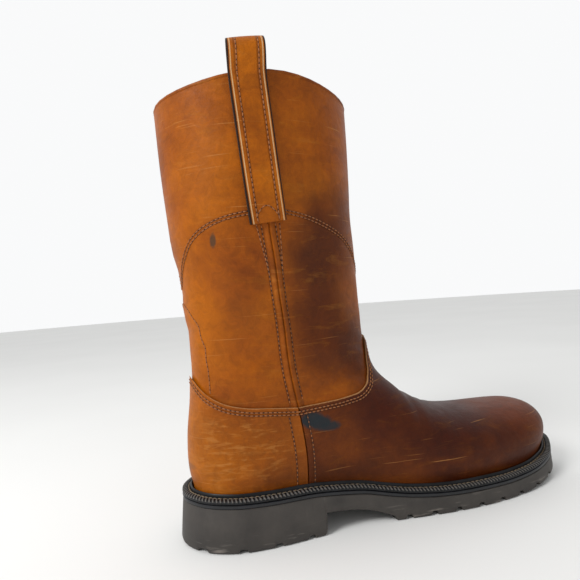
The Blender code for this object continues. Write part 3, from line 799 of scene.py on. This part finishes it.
def hit_side(tree, side, x, height):
    """The surface's point that is met from the boot's side at x and a height."""
    start = Vector((x * MM, side * 0.2, height * MM))
    return tree.ray_cast(start, Vector((0, -side, 0)))[0]


def seam_line(tree, side, low, high):
    hits = [hit_side(tree, side, seam_x(height), height) for height in np.linspace(low, high, 90)]
    return [point for point in hits if point]


def round_line(tree, table, turn_sign=1):
    """A line drawn through a table of degrees round and heights."""
    hits = [hit_round(tree, turn_sign * turn, height) for turn, height in smooth_table(table)]
    return [hit[0] for hit in hits if hit]


def resample(line, pitch):
    """Points at an even pitch in millimetres along a line."""
    points = np.array([tuple(p) for p in line])
    run = np.concatenate([[0], np.cumsum(np.linalg.norm(np.diff(points, axis=0), axis=1))])
    count = max(int(run[-1] / (pitch * MM)), 2)
    at = np.linspace(0, run[-1], count)
    return [Vector([float(np.interp(place, run, axis)) for axis in points.T]) for place in at]


def beside(tree, line, offset):
    """A line moved sideways over the surface."""
    places = []
    for i, point in enumerate(line):
        ahead = line[min(i + 1, len(line) - 1)] - line[max(i - 1, 0)]
        _, normal, _, _ = tree.find_nearest(point)
        side = normal.cross(ahead)
        if side.length > 1e-12:
            places.append(tree.find_nearest(point + side.normalized() * (offset * MM))[0])
    return places


def distance_to(bm, name, lines, sign=None):
    """Writes the distance from each point to the nearest of the lines as an attribute, in millimetres."""
    dense = [p for line in lines for p in resample(line, 0.7)]
    tree = KDTree(len(dense))
    for i, point in enumerate(dense):
        tree.insert(point, i)
    tree.balance()
    field = bm.verts.layers.float.new(name)
    for v in bm.verts:
        _, _, gone = tree.find(v.co)
        way = sign(v.co) if sign else 1
        v[field] = min(gone / MM, 60.0) * way


def patch(tree, place, centre, radii):
    """How far a place lies from a patch's centre, as a share of the patch's radii."""
    moved = add_node(tree, "VectorMath", {0: place, 1: [c * MM for c in centre]}, operation="SUBTRACT")
    sockets = {0: moved.outputs[0], 1: [r * MM for r in radii]}
    scaled = add_node(tree, "VectorMath", sockets, operation="DIVIDE")
    return add_node(tree, "VectorMath", {0: scaled.outputs[0]}, operation="LENGTH").outputs["Value"]


def oiled_leather(name, tones, rows, stains_and_painted_light, worn=0.5, stripes_and_shade=(), marks=(), brushed=()):
    """Oiled pull-up cowhide, full grain: waxy, paler where it was rubbed and darker where oil has gathered.
    Some pieces also carry painted shade and painted light in their patches, stripes and stitch troughs.

    tones are the dark, middle and light leather. rows name an attribute, the distances where a stitch
    row pulls the leather down, and how far each pull reaches; the pull also darkens its trough as painted
    shade. stains are soft patches of oil, and on some pieces painted shade and painted light: colour,
    strength, centre and radii. bands name an attribute, the distance that a thin stripe ends at, its
    colour and its strength; some stripes are painted shade along a seam's slit. marks are scuffs with a
    firmer edge that lie over everything: colour, strength, centre and radii. brushed are places where the
    grain was rubbed in short crossing strokes: pale colour, dark colour, strength, centre and radii."""
    material, tree, place = new_material(name)
    warp = noise(tree, place, 26.0, 4.0, 0.55)
    cloud = noise(tree, place, 15.0, 6.0, 0.58, 0.5)
    colour = tone_of(tree, cloud, *zip((0.30, 0.50, 0.74), tones))
    # Soft patches: oil stains, and on some pieces painted shade and painted light.
    for hex_colour, strength, centre, radii in stains_and_painted_light:
        ragged = reckon(tree, "MULTIPLY_ADD", warp, 0.9, patch(tree, place, centre, radii))
        mask = span(tree, ragged, 1.45, 0.65, 0.0, strength, "SMOOTHSTEP")
        colour = lay_over(tree, mask, colour, hex_colour)
    # Rubs: pale waxy streaks that run round the shaft and along the foot.
    streak = stretched(tree, place, (0.35, 0.5, 0.2), (34.0, 34.0, 150.0), 7.0, 0.68, 0.8)
    colour = lay_over(tree, span(tree, streak, 0.55, 0.80, 0.0, worn), colour, "#c98c4e")
    # Fine scratches: thin, nearly straight pale marks a few centimetres long.
    score = stretched(tree, place, (0.9, 0.2, 0.6), (22.0, 30.0, 900.0), 1.0)
    colour = lay_over(tree, span(tree, score, 0.70, 0.80, 0.0, 0.4), colour, "#c98f58")
    for pale, dark, strength, centre, radii in brushed:
        area = span(tree, patch(tree, place, centre, radii), 1.0, 0.5, 0.0, strength, "SMOOTHSTEP")
        for hex_colour, turn, scale in (
            (pale, (0.2, 0.35, 0.3), (70.0, 60.0, 420.0)),
            (dark, (0.1, -0.25, 0.2), (60.0, 60.0, 300.0)),
            (pale, (0.3, 1.15, 0.1), (90.0, 60.0, 330.0)),
        ):
            stroke = stretched(tree, place, turn, scale, 3.0, 0.5, 0.6)
            mask = reckon(tree, "MULTIPLY", span(tree, stroke, 0.55, 0.68), area)
            colour = lay_over(tree, mask, colour, hex_colour)
    # Fine mottling of the oil, 4 to 8 mm across.
    fine = noise(tree, place, 130.0, 6.0, 0.7, 1.0)
    sockets = {"Saturation": 1.05, "Value": span(tree, fine, 0.3, 0.7, 0.78, 1.16), "Color": colour}
    colour = add_node(tree, "HueSaturation", sockets).outputs[0]
    # Grain: fine pebbles about 0.9 mm across, and soft wrinkles of the hide at 5 mm.
    grain = add_node(tree, "TexVoronoi", {"Vector": place, "Scale": 1100.0}, feature="SMOOTH_F1")
    wrinkle = noise(tree, place, 210.0, 4.0, 0.6)
    height = reckon(tree, "MULTIPLY_ADD", grain.outputs["Distance"], 0.18, wrinkle)
    for attribute, places, reach in rows:
        gone = add_node(tree, "Attribute", attribute_name=attribute).outputs["Fac"]
        for at in places:
            near = reckon(tree, "ABSOLUTE", reckon(tree, "SUBTRACT", gone, at))
            pull = span(tree, near, reach, 0.0, kind="SMOOTHSTEP")
            height = reckon(tree, "MULTIPLY_ADD", pull, -1.2, height)
            # The pull also darkens the leather in its trough: painted shade.
            colour = lay_over(tree, reckon(tree, "MULTIPLY", pull, 0.42), colour, "#5e3013")
    # Thin stripes. On the panels and side seams a dark one along the slit is painted shade.
    for attribute, width, hex_colour, strength in stripes_and_shade:
        gone = add_node(tree, "Attribute", attribute_name=attribute).outputs["Fac"]
        stripe = span(tree, reckon(tree, "ABSOLUTE", gone), width, 0.6 * width, 0.0, strength)
        colour = lay_over(tree, stripe, colour, hex_colour)
    for hex_colour, strength, centre, radii in marks:
        ragged = reckon(tree, "MULTIPLY_ADD", wrinkle, 0.8, patch(tree, place, centre, radii))
        colour = lay_over(tree, span(tree, ragged, 1.55, 1.1, 0.0, strength), colour, hex_colour)
    dress(tree, colour, span(tree, streak, 0.3, 0.8, 0.42, 0.62), height, 0.5, 0.0006, 0.17)
    set_sockets(tree, tree.nodes["Principled BSDF"], {"Coat Weight": 0.03, "Coat Roughness": 0.4})
    return material


def lining_leather():
    """Pigskin lining: pale, matt and unfinished, with a short nap and darker soiled clouds."""
    material, tree, place = new_material("pigskin_lining")
    tone = tone_of(tree, noise(tree, place, 24.0, 6.0), (0.0, "#6b4a2c"), (1.0, "#b08a5e"))
    dress(tree, tone, 0.85, noise(tree, place, 900.0, 3.0), 0.4, 0.0003)
    return material


# The curved double rows of the shaft, each side: degrees round from the centre back, height.
BACK_ARCH = ((3, 170), (9, 179), (18, 189), (28, 199), (40, 206), (52, 210), (64, 212), (76, 213))
FRONT_ARCH = ((94, 213), (108, 211), (122, 208), (136, 203), (148, 197), (158, 190), (168, 180), (178, 170))
HALF_POCKET = ((24, 100), (23, 118), (22, 134), (19, 145), (13, 153), (5, 158))
HEEL_POCKET = (*[(-turn, height) for turn, height in HALF_POCKET], (0, 159), *HALF_POCKET[::-1])
SEAM_ROWS = (4.6, -4.6)
FRONT_SEAM_ROW = 5.0
BACK_SEAM_ROW = 7.6
EDGE_ROWS = (2.6, 4.5)
ARCH_ROWS = (1.0, -1.0)

arch_lines = [round_line(skin_tree, table, sign) for table in (BACK_ARCH, FRONT_ARCH) for sign in (-1, 1)]
pocket_line = round_line(skin_tree, HEEL_POCKET)
seam_lines = {side: seam_line(skin_tree, side, 26, 290) for side in (-1, 1)}


def above_arch(point):
    turn = abs(math.degrees(math.atan2(point.y, AXIS_X * MM - point.x)))
    turns, heights = np.array(BACK_ARCH + FRONT_ARCH, float).T
    return 1 if point.z / MM > np.interp(turn, turns, heights) else -1


def ahead_of_seam(point):
    return 1 if point.x / MM > seam_x(point.z / MM) else -1


# Soft patches on the shaft: colour, strength, centre and radii. The four patches forward of the seam on the
# near side are painted shade, as a second boot beside this one would cast, over darker oil. The two pale
# patches at the back are painted light on the side the key light falls on. The others are oil mottling.
SHAFT_STAINS_AND_PAINTED_LIGHT = (
    ("#421803", 0.88, (58, -44, 188), (44, 60, 66)),
    ("#4b1d04", 0.80, (52, -38, 136), (40, 60, 52)),
    ("#3f1603", 0.80, (84, -26, 118), (30, 44, 46)),
    ("#683616", 0.45, (80, -28, 165), (24, 40, 46)),
    ("#b5692a", 0.55, (-36, -16, 150), (30, 44, 90)),
    ("#ab632a", 0.45, (-20, -40, 236), (34, 44, 50)),
    ("#6b300a", 0.50, (-4, -44, 150), (22, 30, 40)),
    ("#5c2807", 0.60, (-16, 34, 186), (44, 50, 30)),
    ("#4f1f05", 0.60, (58, 36, 196), (40, 60, 60)),
    ("#592607", 0.55, (80, 10, 232), (44, 60, 50)),
)
SHAFT_MARKS = (("#3b3428", 0.75, (-17, -38, 197), (1.8, 20, 4.6)),)


def make_upper():
    bm = skin.copy()
    distance_to(bm, "arch_mm", arch_lines, above_arch)
    distance_to(bm, "seam_mm", seam_lines.values(), ahead_of_seam)
    distance_to(bm, "pocket_mm", [pocket_line])
    solid = {
        "thickness": WALL * MM,
        "offset": -1.0,
        "use_even_offset": False,
        "material_offset": 1,
        "material_offset_rim": 0,
    }
    bm = through_modifiers(bm, "upper", ("SOLIDIFY", solid))
    rows = (("arch_mm", ARCH_ROWS, 0.9), ("seam_mm", SEAM_ROWS, 1.1), ("pocket_mm", (0.0,), 0.9))
    tones = ("#74360c", "#98511c", "#b06526")
    leather = oiled_leather("oiled_shaft_leather", tones, rows, SHAFT_STAINS_AND_PAINTED_LIGHT, 0.25, (), SHAFT_MARKS)
    finish_piece(bm, "leather_upper", [leather, lining_leather()], "upper")


make_upper()

# Counter and vamp: overlays of the same hide, 1.4 mm thick. They are cut with a clean, pale edge, laid over
# the shaft's foot and closed with two rows of thread just under the edge. They meet at the side seam's slit.

OVERLAY_GAP = 0.3
OVERLAY = 1.4
SLIT = 0.45
# The swell at the side seam: its height and half its width.
SWELL = 0.55
SWELL_REACH = 3.2
# The cut along a panel's top edge lies above this height and shows pale.
PALE_CUT_FROM = 84.5


def side_block(outline):
    """A block whose side view is the outline, to cut a panel out of the skin."""
    bm = bmesh.new()
    bm.faces.new([bm.verts.new((x * MM, -0.1, z * MM)) for x, z in outline])
    drawn = bmesh.ops.extrude_face_region(bm, geom=bm.faces[:])["geom"]
    bmesh.ops.translate(bm, verts=[v for v in drawn if isinstance(v, bmesh.types.BMVert)], vec=(0, 0.2, 0))
    bmesh.ops.recalc_face_normals(bm, faces=bm.faces)
    for face in bm.faces:
        face.material_index = int(face.calc_center_median().z > PALE_CUT_FROM * MM)
    return bm


def raised_skin(lift):
    """The skin moved out, with a low swell where two panels meet at the side seam."""
    bm = skin.copy()
    bm.normal_update()
    for v in bm.verts:
        gone = (v.co.x / MM - seam_x(v.co.z / MM)) / SWELL_REACH
        swell = SWELL * math.exp(-(gone**2)) if abs(v.normal.y) > 0.5 else 0.0
        v.co = v.co + v.normal * ((lift + swell) * MM)
    bm.normal_update()
    return bm


overlay_tree = BVHTree.FromBMesh(raised_skin(OVERLAY_GAP + OVERLAY))


def panel(name, outline, x_low, x_high):
    """Cuts one overlay out of the raised skin."""
    bm = raised_skin(OVERLAY_GAP)
    away = []
    for face in bm.faces:
        middle = face.calc_center_median() / MM
        if middle.z > 140 or not x_low < middle.x < x_high:
            away.append(face)
    bmesh.ops.delete(bm, geom=away, context="FACES")
    cutter = link("block", two_slot_mesh(side_block(outline), "block"))
    solid = {"thickness": OVERLAY * MM, "offset": 1.0, "use_even_offset": False}
    cut = {"operation": "INTERSECT", "solver": "EXACT", "object": cutter}
    shaped = through_modifiers(bm, name, ("SOLIDIFY", solid), ("BOOLEAN", cut))
    bpy.data.objects.remove(cutter)
    return shaped


def cut_edge():
    """The cut edge of the hide: pale, fibrous and dry, as the knife left it."""
    material, tree, place = new_material("cut_leather_edge")
    tone = tone_of(tree, noise(tree, place, 1200.0, 3.0), (0.0, "#8f6236"), (1.0, "#b98a58"))
    dress(tree, tone, 0.8)
    return material


COUNTER_STAINS = (
    ("#b8702f", 0.45, (-32, -16, 58), (34, 40, 40)),
    ("#8a4a18", 0.50, (-10, -30, 66), (40, 34, 22)),
    ("#4f2206", 0.60, (26, -34, 36), (40, 34, 22)),
    ("#6b3410", 0.45, (24, -36, 66), (20, 30, 30)),
    ("#4a2a14", 0.55, (-2, 30, 56), (22, 34, 13)),
    ("#4a2a14", 0.55, (-14, 26, 42), (22, 34, 12)),
)
COUNTER_MARKS = (
    ("#6b4a30", 0.45, (-40, -8, 50), (5, 14, 2.5)),
    ("#5c5148", 0.50, (-41, 6, 47), (6, 14, 2.0)),
)
COUNTER_BRUSHED = (("#b97d45", "#8a4514", 0.40, (-10, -28, 62), (44, 40, 30)),)
# Soft patches on the vamp. The large dark patch over the forepart, the one at the throat and the one low on
# the near side are painted shade, as a second boot beside this one would cast, over darker oil.
VAMP_STAINS_AND_PAINTED_SHADE = (
    ("#330c02", 0.90, (160, 0, 60), (125, 160, 120)),
    ("#421604", 0.80, (86, -22, 100), (42, 70, 60)),
    ("#3a1504", 0.65, (58, -40, 34), (60, 50, 22)),
    ("#7a3810", 0.40, (210, -10, 66), (50, 60, 40)),
)
VAMP_MARKS = (
    ("#23292d", 0.96, (40, -34, 76), (8.5, 20, 5.2)),
    ("#23292d", 0.96, (46, -34, 73), (9.0, 20, 4.6)),
    ("#23292d", 0.92, (53, -33, 69.5), (8.0, 20, 3.2)),
)
COUNTER_LOOK = (("#7d3f14", "#9d5824", "#b3692d"), COUNTER_STAINS, COUNTER_MARKS, 0.3, COUNTER_BRUSHED)
# The vamp's tones are darker than the counter's, partly darker leather and partly painted shade.
VAMP_LOOK_WITH_PAINTED_SHADE = (("#431a06", "#65300d", "#804214"), VAMP_STAINS_AND_PAINTED_SHADE, VAMP_MARKS, 0.10, ())
counter_line = edge_line(overlay_tree, COUNTER_EDGE, np.linspace(-104, 104, 240), 70, 120)
counter_line = [p for p in counter_line if p.x / MM < seam_x(p.z / MM) - 0.3]
vamp_line = edge_line(overlay_tree, VAMP_EDGE, np.linspace(100, 260, 300), 60, 132)
vamp_line = [p for p in vamp_line if p.x / MM > seam_x(p.z / MM) + 0.3]


def make_panels():
    seam = [(seam_x(z) - SLIT, z) for z in np.linspace(10, 85, 14)]
    counter_outline = [(-70.0, 10.0)] + seam + [(x, z) for x, z in COUNTER_EDGE[-3::-1]] + [(-70.0, 113.5)]
    seam = [(seam_x(z) + SLIT, z) for z in np.linspace(10, 85, 14)]
    vamp_outline = [(270.0, 10.0)] + seam + [(x, z) for x, z in VAMP_EDGE[2:]] + [(270.0, 126.2)]
    edge = cut_edge()
    for name, outline, line, reach, look, node in (
        ("heel_counter", counter_outline, counter_line, (-60, 45), COUNTER_LOOK, "counter"),
        ("vamp_panel", vamp_outline, vamp_line, (20, 270), VAMP_LOOK_WITH_PAINTED_SHADE, "vamp"),
    ):
        tones, stains_and_painted_light, marks, worn, brushed = look
        bm = panel(name, outline, *reach)
        distance_to(bm, "edge_mm", [line])
        distance_to(bm, "seam_mm", seam_lines.values(), ahead_of_seam)
        rows = (("edge_mm", EDGE_ROWS, 0.9), ("seam_mm", (FRONT_SEAM_ROW, -BACK_SEAM_ROW), 1.0))
        # The pale stripe is the cut edge's own colour; the dark stripe along the seam is painted shade of the
        # slit.
        stripes_and_shade = (("edge_mm", 0.6, "#c08a55", 0.55), ("seam_mm", 1.0, "#3a1806", 0.7))
        leather = oiled_leather(f"oiled_{name}_leather", tones, rows, stains_and_painted_light, worn, stripes_and_shade, marks, brushed)
        finish_piece(bm, name, [leather, edge], node)


make_panels()

# Side seams: shaft and panels are closed face to face and turned, which leaves two rolled lips and a slit,
# darkened with painted shade. The front lip stands a little prouder. The seam runs from the welt up under
# the pull strap.

LIP_PROFILE = (
    (-3.4, 0.0),
    (-2.6, 0.45),
    (-1.7, 0.95),
    (-0.9, 1.05),
    (-0.4, 0.75),
    (-0.12, -0.3),
    (0.12, -0.3),
    (0.4, 1.0),
    (1.0, 1.55),
    (1.9, 1.35),
    (2.9, 0.6),
    (3.8, 0.0),
    (2.0, -0.6),
    (-2.0, -0.6),
)


def sweep(bm, path, normals, profile, scale=None):
    """Draws a closed profile (across, out) along a path and closes its ends."""
    rows = drawn_rings(bm, len(profile), len(path))
    for i, (row, point, normal) in enumerate(zip(rows, path, normals)):
        ahead = (path[min(i + 1, len(path) - 1)] - path[max(i - 1, 0)]).normalized()
        across = ahead.cross(normal).normalized()
        size = scale(i / (len(path) - 1)) if scale else 1.0
        for v, (a, out) in zip(row, profile):
            v.co = point + (a * across + out * size * normal) * MM
    bm.faces.new(rows[0])
    bm.faces.new(rows[-1])
    bmesh.ops.recalc_face_normals(bm, faces=bm.faces)


def make_side_seams():
    rows = (("seam_mm", (0.0,), 0.7),)
    tones = ("#5e2d0f", "#95501f", "#b0682e")
    # A near-black stripe on the slit: painted shade.
    painted_slit_shade = (("seam_mm", 0.5, "#1e0d05", 0.95),)
    leather = oiled_leather("rolled_seam_leather", tones, rows, SHAFT_STAINS_AND_PAINTED_LIGHT, 0.5, painted_slit_shade)
    for side, node in ((-1, "side_seam_inner"), (1, "side_seam_outer")):
        line = resample(seam_line(skin_tree, side, 20, 240), 1.5)
        normals = [skin_tree.find_nearest(p)[1] for p in line]
        flat = [n if n.y * side > 0 else -n for n in normals]
        bm = bmesh.new()
        profile = LIP_PROFILE if side < 0 else [(-a, out) for a, out in LIP_PROFILE]

        def height(share):
            at = line[round(share * (len(line) - 1))].z / MM
            return 0.55 if at < 84 else min(0.55 + (at - 84) * 0.15, 1.0)

        sweep(bm, line, flat, profile, height)
        distance_to(bm, "seam_mm", [line], ahead_of_seam)
        finish_piece(bm, f"rolled_{node}", [leather], node)


make_side_seams()

# Collar binding: a strip of the same leather folded over the shaft's top edge and glued down.


def make_binding():
    bm = cad_copy("collar_binding")
    bm = through_modifiers(bm, "binding", ("SUBSURF", {"levels": 1, "render_levels": 1}))
    leather = oiled_leather("folded_binding_leather", ("#5e2d0f", "#8c4a1c", "#a8622a"), (), (), 0.6)
    finish_piece(bm, "collar_binding_fold", [leather], "collar_binding")


make_binding()

# Pull straps: a leather loop over the collar at each side, folded to 23 mm with painted dark edges and a
# cream fold line. Two long rows of thread hold it to the shaft, and a half-moon row closes its lower end.

STRAP_ROW = 6.9
STRAP_FOOT = 206.0
COLLAR_HEIGHT = 298.0
# How far from the strap's middle the fold line runs and the edge paint starts.
FOLD_LINE = 9.9
PAINT_START = 11.2
# Between a strap's inner and outer leg: heights, and distances from the boot's middle plane.
LEG_SPLIT = ((205, 295), (47.2, 50.8))
LEG_DRAWN_IN = 0.7


def edge_paint():
    """Black edge paint on the strap's cut edges: thin, slightly cracked, with a dull shine."""
    material, tree, place = new_material("black_edge_paint")
    cloud = noise(tree, place, 400.0, 4.0)
    tone = tone_of(tree, cloud, (0.0, "#0f0a07"), (1.0, "#2c1c12"))
    dress(tree, tone, 0.55, cloud, 0.3, 0.0002)
    return material


def strap_leather():
    """Strap leather: the shaft's hide, with a cream fold line beside each painted edge."""
    rows = (("strap_mm", (STRAP_ROW, -STRAP_ROW), 1.2),)
    tones = ("#763a12", "#9f5720", "#b86c2c")
    stripes_and_shade = (("fold_mm", 0.45, "#d2ae7e", 0.8), ("paint_mm", 0.5, "#140c07", 0.95))
    return oiled_leather("folded_strap_leather", tones, rows, (), 0.3, stripes_and_shade)


def make_straps():
    leather = strap_leather()
    paint = edge_paint()
    trees = {}
    for side, node in ((-1, "pull_strap_inner"), (1, "pull_strap_outer")):
        bm = cad_copy(node)
        sharp = [e for e in bm.edges if len(e.link_faces) == 2 and e.calc_face_angle() > 0.7]
        bmesh.ops.bevel(bm, geom=sharp, offset=0.5 * MM, segments=2, affect="EDGES", profile=0.5, material=-1)
        bm = through_modifiers(bm, "strap", ("SUBSURF", {"levels": 2, "render_levels": 2}))
        bm.normal_update()
        for v in bm.verts:
            # The outer leg is drawn against the shaft by its stitches.
            height = v.co.z / MM
            if abs(v.co.y) / MM > np.interp(height, *LEG_SPLIT):
                v.co.y -= side * LEG_DRAWN_IN * MM * min(max((300 - height) / 18, 0), 1)
        across = bm.verts.layers.float.new("strap_mm")
        fold = bm.verts.layers.float.new("fold_mm")
        paint_lap = bm.verts.layers.float.new("paint_mm")
        for v in bm.verts:
            leg = float(np.interp(abs(v.co.y) / MM, (44, 57), (-0.8, 0.5)))
            v[across] = v.co.x / MM - seam_x(min(v.co.z / MM, COLLAR_HEIGHT)) + leg
            v[fold] = abs(v[across]) - FOLD_LINE
            v[paint_lap] = max(PAINT_START - abs(v[across]), 0)
        for face in bm.faces:
            if abs(face.normal.x) > 0.5:
                face.material_index = 1
        trees[side] = BVHTree.FromBMesh(bm)
        finish_piece(bm, f"{node}_loop", [leather, paint], node)
    return trees


strap_trees = make_straps()

# Stitches: tan waxed thread, locked every 3 mm in awl holes, each drawn as a dark disc of painted shade.
# Two rows run under the panel edges and along the arches of the shaft, one round the heel pocket and one
# each side of the seams.

THREAD_PITCH = 3.0
# Stitches of a row: length, width, lift off the leather and length of the hole, proud or sunk in a seam.
PROUD_ROW = (2.4, 0.85, 0.12, 1.0)
SUNK_ROW = (1.7, 0.65, 0.02, 1.25)
# The outer rows leave the seam below the strap: heights from and to, and how far they spread.
FLARE = (174, 205)
FLARE_SPREAD = 3.0


def painted_hole_shade():
    """Painted shade of an awl hole: a dark, slightly shiny disc put where the hole's shade falls."""
    material, tree, place = new_material("painted_hole_shade")
    dress(tree, tone_of(tree, noise(tree, place, 500.0), (0.0, "#241108"), (1.0, "#43230f")), 0.5)
    return material


def sew(tree, line, offset=0.0, keep=None, sunk=False):
    """Sews a row beside a line: a stitch, then a hole drawn as a dark disc of painted shade, and so on. A
    sunk row shows less thread.
    """
    length, width, lift, hole = SUNK_ROW if sunk else PROUD_ROW
    row = resample(beside(tree, line, offset), THREAD_PITCH / 2)
    for i, point in enumerate(row):
        near, normal, _, _ = tree.find_nearest(point)
        if keep and not keep(near):
            continue
        ahead = row[min(i + 1, len(row) - 1)] - row[max(i - 1, 0)]
        # Odd places get a dark disc, the hole's painted shade; even places get a stitch.
        if i % 2:
            lay_stitch(hole_shade_bm, near, ahead, normal, hole, hole * 0.8)
        else:
            lay_stitch(thread_bm, near + lift * MM * normal, ahead, normal, length, width)


thread_bm = bmesh.new()
hole_shade_bm = bmesh.new()


def over_panels(point):
    """Whether a place on the shaft is above the panels' top edges."""
    xs, heights = (COUNTER_EDGE if point.x / MM < seam_x(85) else VAMP_EDGE).T
    return point.z / MM > np.interp(point.x / MM, xs, heights) + 1.5


def flared_rows(side, way):
    """The rows that spread into a narrow V below the pull strap."""
    line = []
    for height in np.linspace(*FLARE, 20):
        spread = SEAM_ROWS[0] + float(np.interp(height, FLARE, (0, FLARE_SPREAD)))
        line.append(hit_side(skin_tree, side, seam_x(height) + way * spread, height))
    return line


def half_moon(side):
    """The curved row that closes a pull strap's lower end."""
    line = []
    for across in np.linspace(-STRAP_ROW, STRAP_ROW, 15):
        height = STRAP_FOOT + 4 + 6 * math.cos(across / STRAP_ROW * math.pi / 2)
        line.append(hit_side(strap_trees[side], side, seam_x(height) + across, height))
    return line


def make_stitches():
    for line in arch_lines:
        for offset in ARCH_ROWS:
            sew(skin_tree, line, offset, over_panels)
    sew(skin_tree, pocket_line, 0.0, over_panels)
    for row in EDGE_ROWS:
        sew(overlay_tree, counter_line, row)
        sew(overlay_tree, vamp_line, row)
    for side in (-1, 1):
        above = seam_line(skin_tree, side, 90, 204)
        below = seam_line(overlay_tree, side, 27, 80)
        strap = seam_line(strap_trees[side], side, STRAP_FOOT + 2, COLLAR_HEIGHT + 19)
        sew(overlay_tree, below, side * FRONT_SEAM_ROW, sunk=True)
        sew(overlay_tree, below, -side * BACK_SEAM_ROW, sunk=True)
        for way in (-1, 1):
            sew(skin_tree, above, way * SEAM_ROWS[0], sunk=True)
            sew(strap_trees[side], strap, way * STRAP_ROW)
            sew(skin_tree, flared_rows(side, way))
        sew(strap_trees[side], half_moon(side))
    thread = sewing_thread("waxed_tan_thread", "#b67a4e", "#76462a")
    finish_piece(thread_bm, "upper_thread", [thread])
    finish_piece(hole_shade_bm, "painted_hole_shades", [painted_hole_shade()])


make_stitches()

# Floor, light and camera: a plain pale floor, a large soft key light from behind the heel and above, a
# weaker fill from the camera's side, and the camera at the photograph's angle to the boot, turned a little
# about its own view.


def matt_paper():
    """Backdrop paper: nearly white and quite matt, with very faint broad clouds."""
    material, tree, place = new_material("matt_pale_paper")
    dress(tree, tone_of(tree, noise(tree, place, 3.0), (0.0, "#ececea"), (1.0, "#f4f4f2")), 0.9)
    return material


def make_floor():
    bm = bmesh.new()
    bmesh.ops.create_circle(bm, cap_ends=True, segments=96, radius=5.0)
    mesh = mesh_of(bm, "studio_floor")
    mesh.materials.append(matt_paper())
    floor = link("studio_floor", mesh)


def soft_light(name, place, aim, size, power):
    light = bpy.data.lights.new(name, "AREA")
    light.shape = "DISK"
    light.size = size
    light.energy = power
    holder = link(name, light)
    direction = Vector(aim) - Vector(place)
    holder.matrix_world = Matrix.Translation(place) @ direction.to_track_quat("-Z", "Y").to_matrix().to_4x4()


def set_camera(place, yaw, pitch, roll, view_angle):
    """Aims the camera. Yaw turns from +Y towards +X, and the roll leans the boot's picture to the left."""
    yaw, pitch, roll = (math.radians(angle) for angle in (yaw, pitch, roll))
    ahead = Vector((math.sin(yaw) * math.cos(pitch), math.cos(yaw) * math.cos(pitch), math.sin(pitch)))
    right = ahead.cross(Vector((0, 0, 1))).normalized()
    up = right.cross(ahead)
    turned_right = math.cos(roll) * right - math.sin(roll) * up
    turned_up = math.cos(roll) * up + math.sin(roll) * right
    lens = bpy.data.cameras.new("photo_camera")
    lens.sensor_fit = "HORIZONTAL"
    lens.angle = math.radians(view_angle)
    lens.clip_start = 0.01
    camera = link("photo_camera", lens)
    frame_of = Matrix((turned_right, turned_up, -ahead)).transposed().to_4x4()
    camera.matrix_world = Matrix.Translation([c * MM for c in place]) @ frame_of
    bpy.context.scene.camera = camera


def light_world():
    """A pale sweep: bright behind the boot and dimmer on the near side, as in a small studio."""
    world = bpy.data.worlds.new("studio")
    world.use_nodes = True
    tree = world.node_tree
    sky = tree.nodes["Background"]
    sky.inputs["Color"].default_value = (0.97, 0.975, 0.98, 1)
    way = add_node(tree, "TexCoord").outputs["Generated"]
    facing = add_node(tree, "VectorMath", {0: way, 1: (0.15, 0.97, 0.2)}, operation="DOT_PRODUCT")
    bright = span(tree, facing.outputs["Value"], -0.5, 0.45, 0.42, 0.98, "SMOOTHSTEP")
    tree.links.new(bright, sky.inputs["Strength"])
    bpy.context.scene.world = world


make_floor()
soft_light("key_light", (-0.9, -0.45, 1.0), (0.03, 0, 0.14), 0.5, 11)
soft_light("fill_light", (0.5, -1.3, 0.5), (0.08, 0, 0.12), 1.0, 0.8)
light_world()
bpy.context.scene.view_settings.view_transform = "Standard"
set_camera((-64.9, -332.5, 160.1), 18.0, 0.5, 4.3, 63.0)
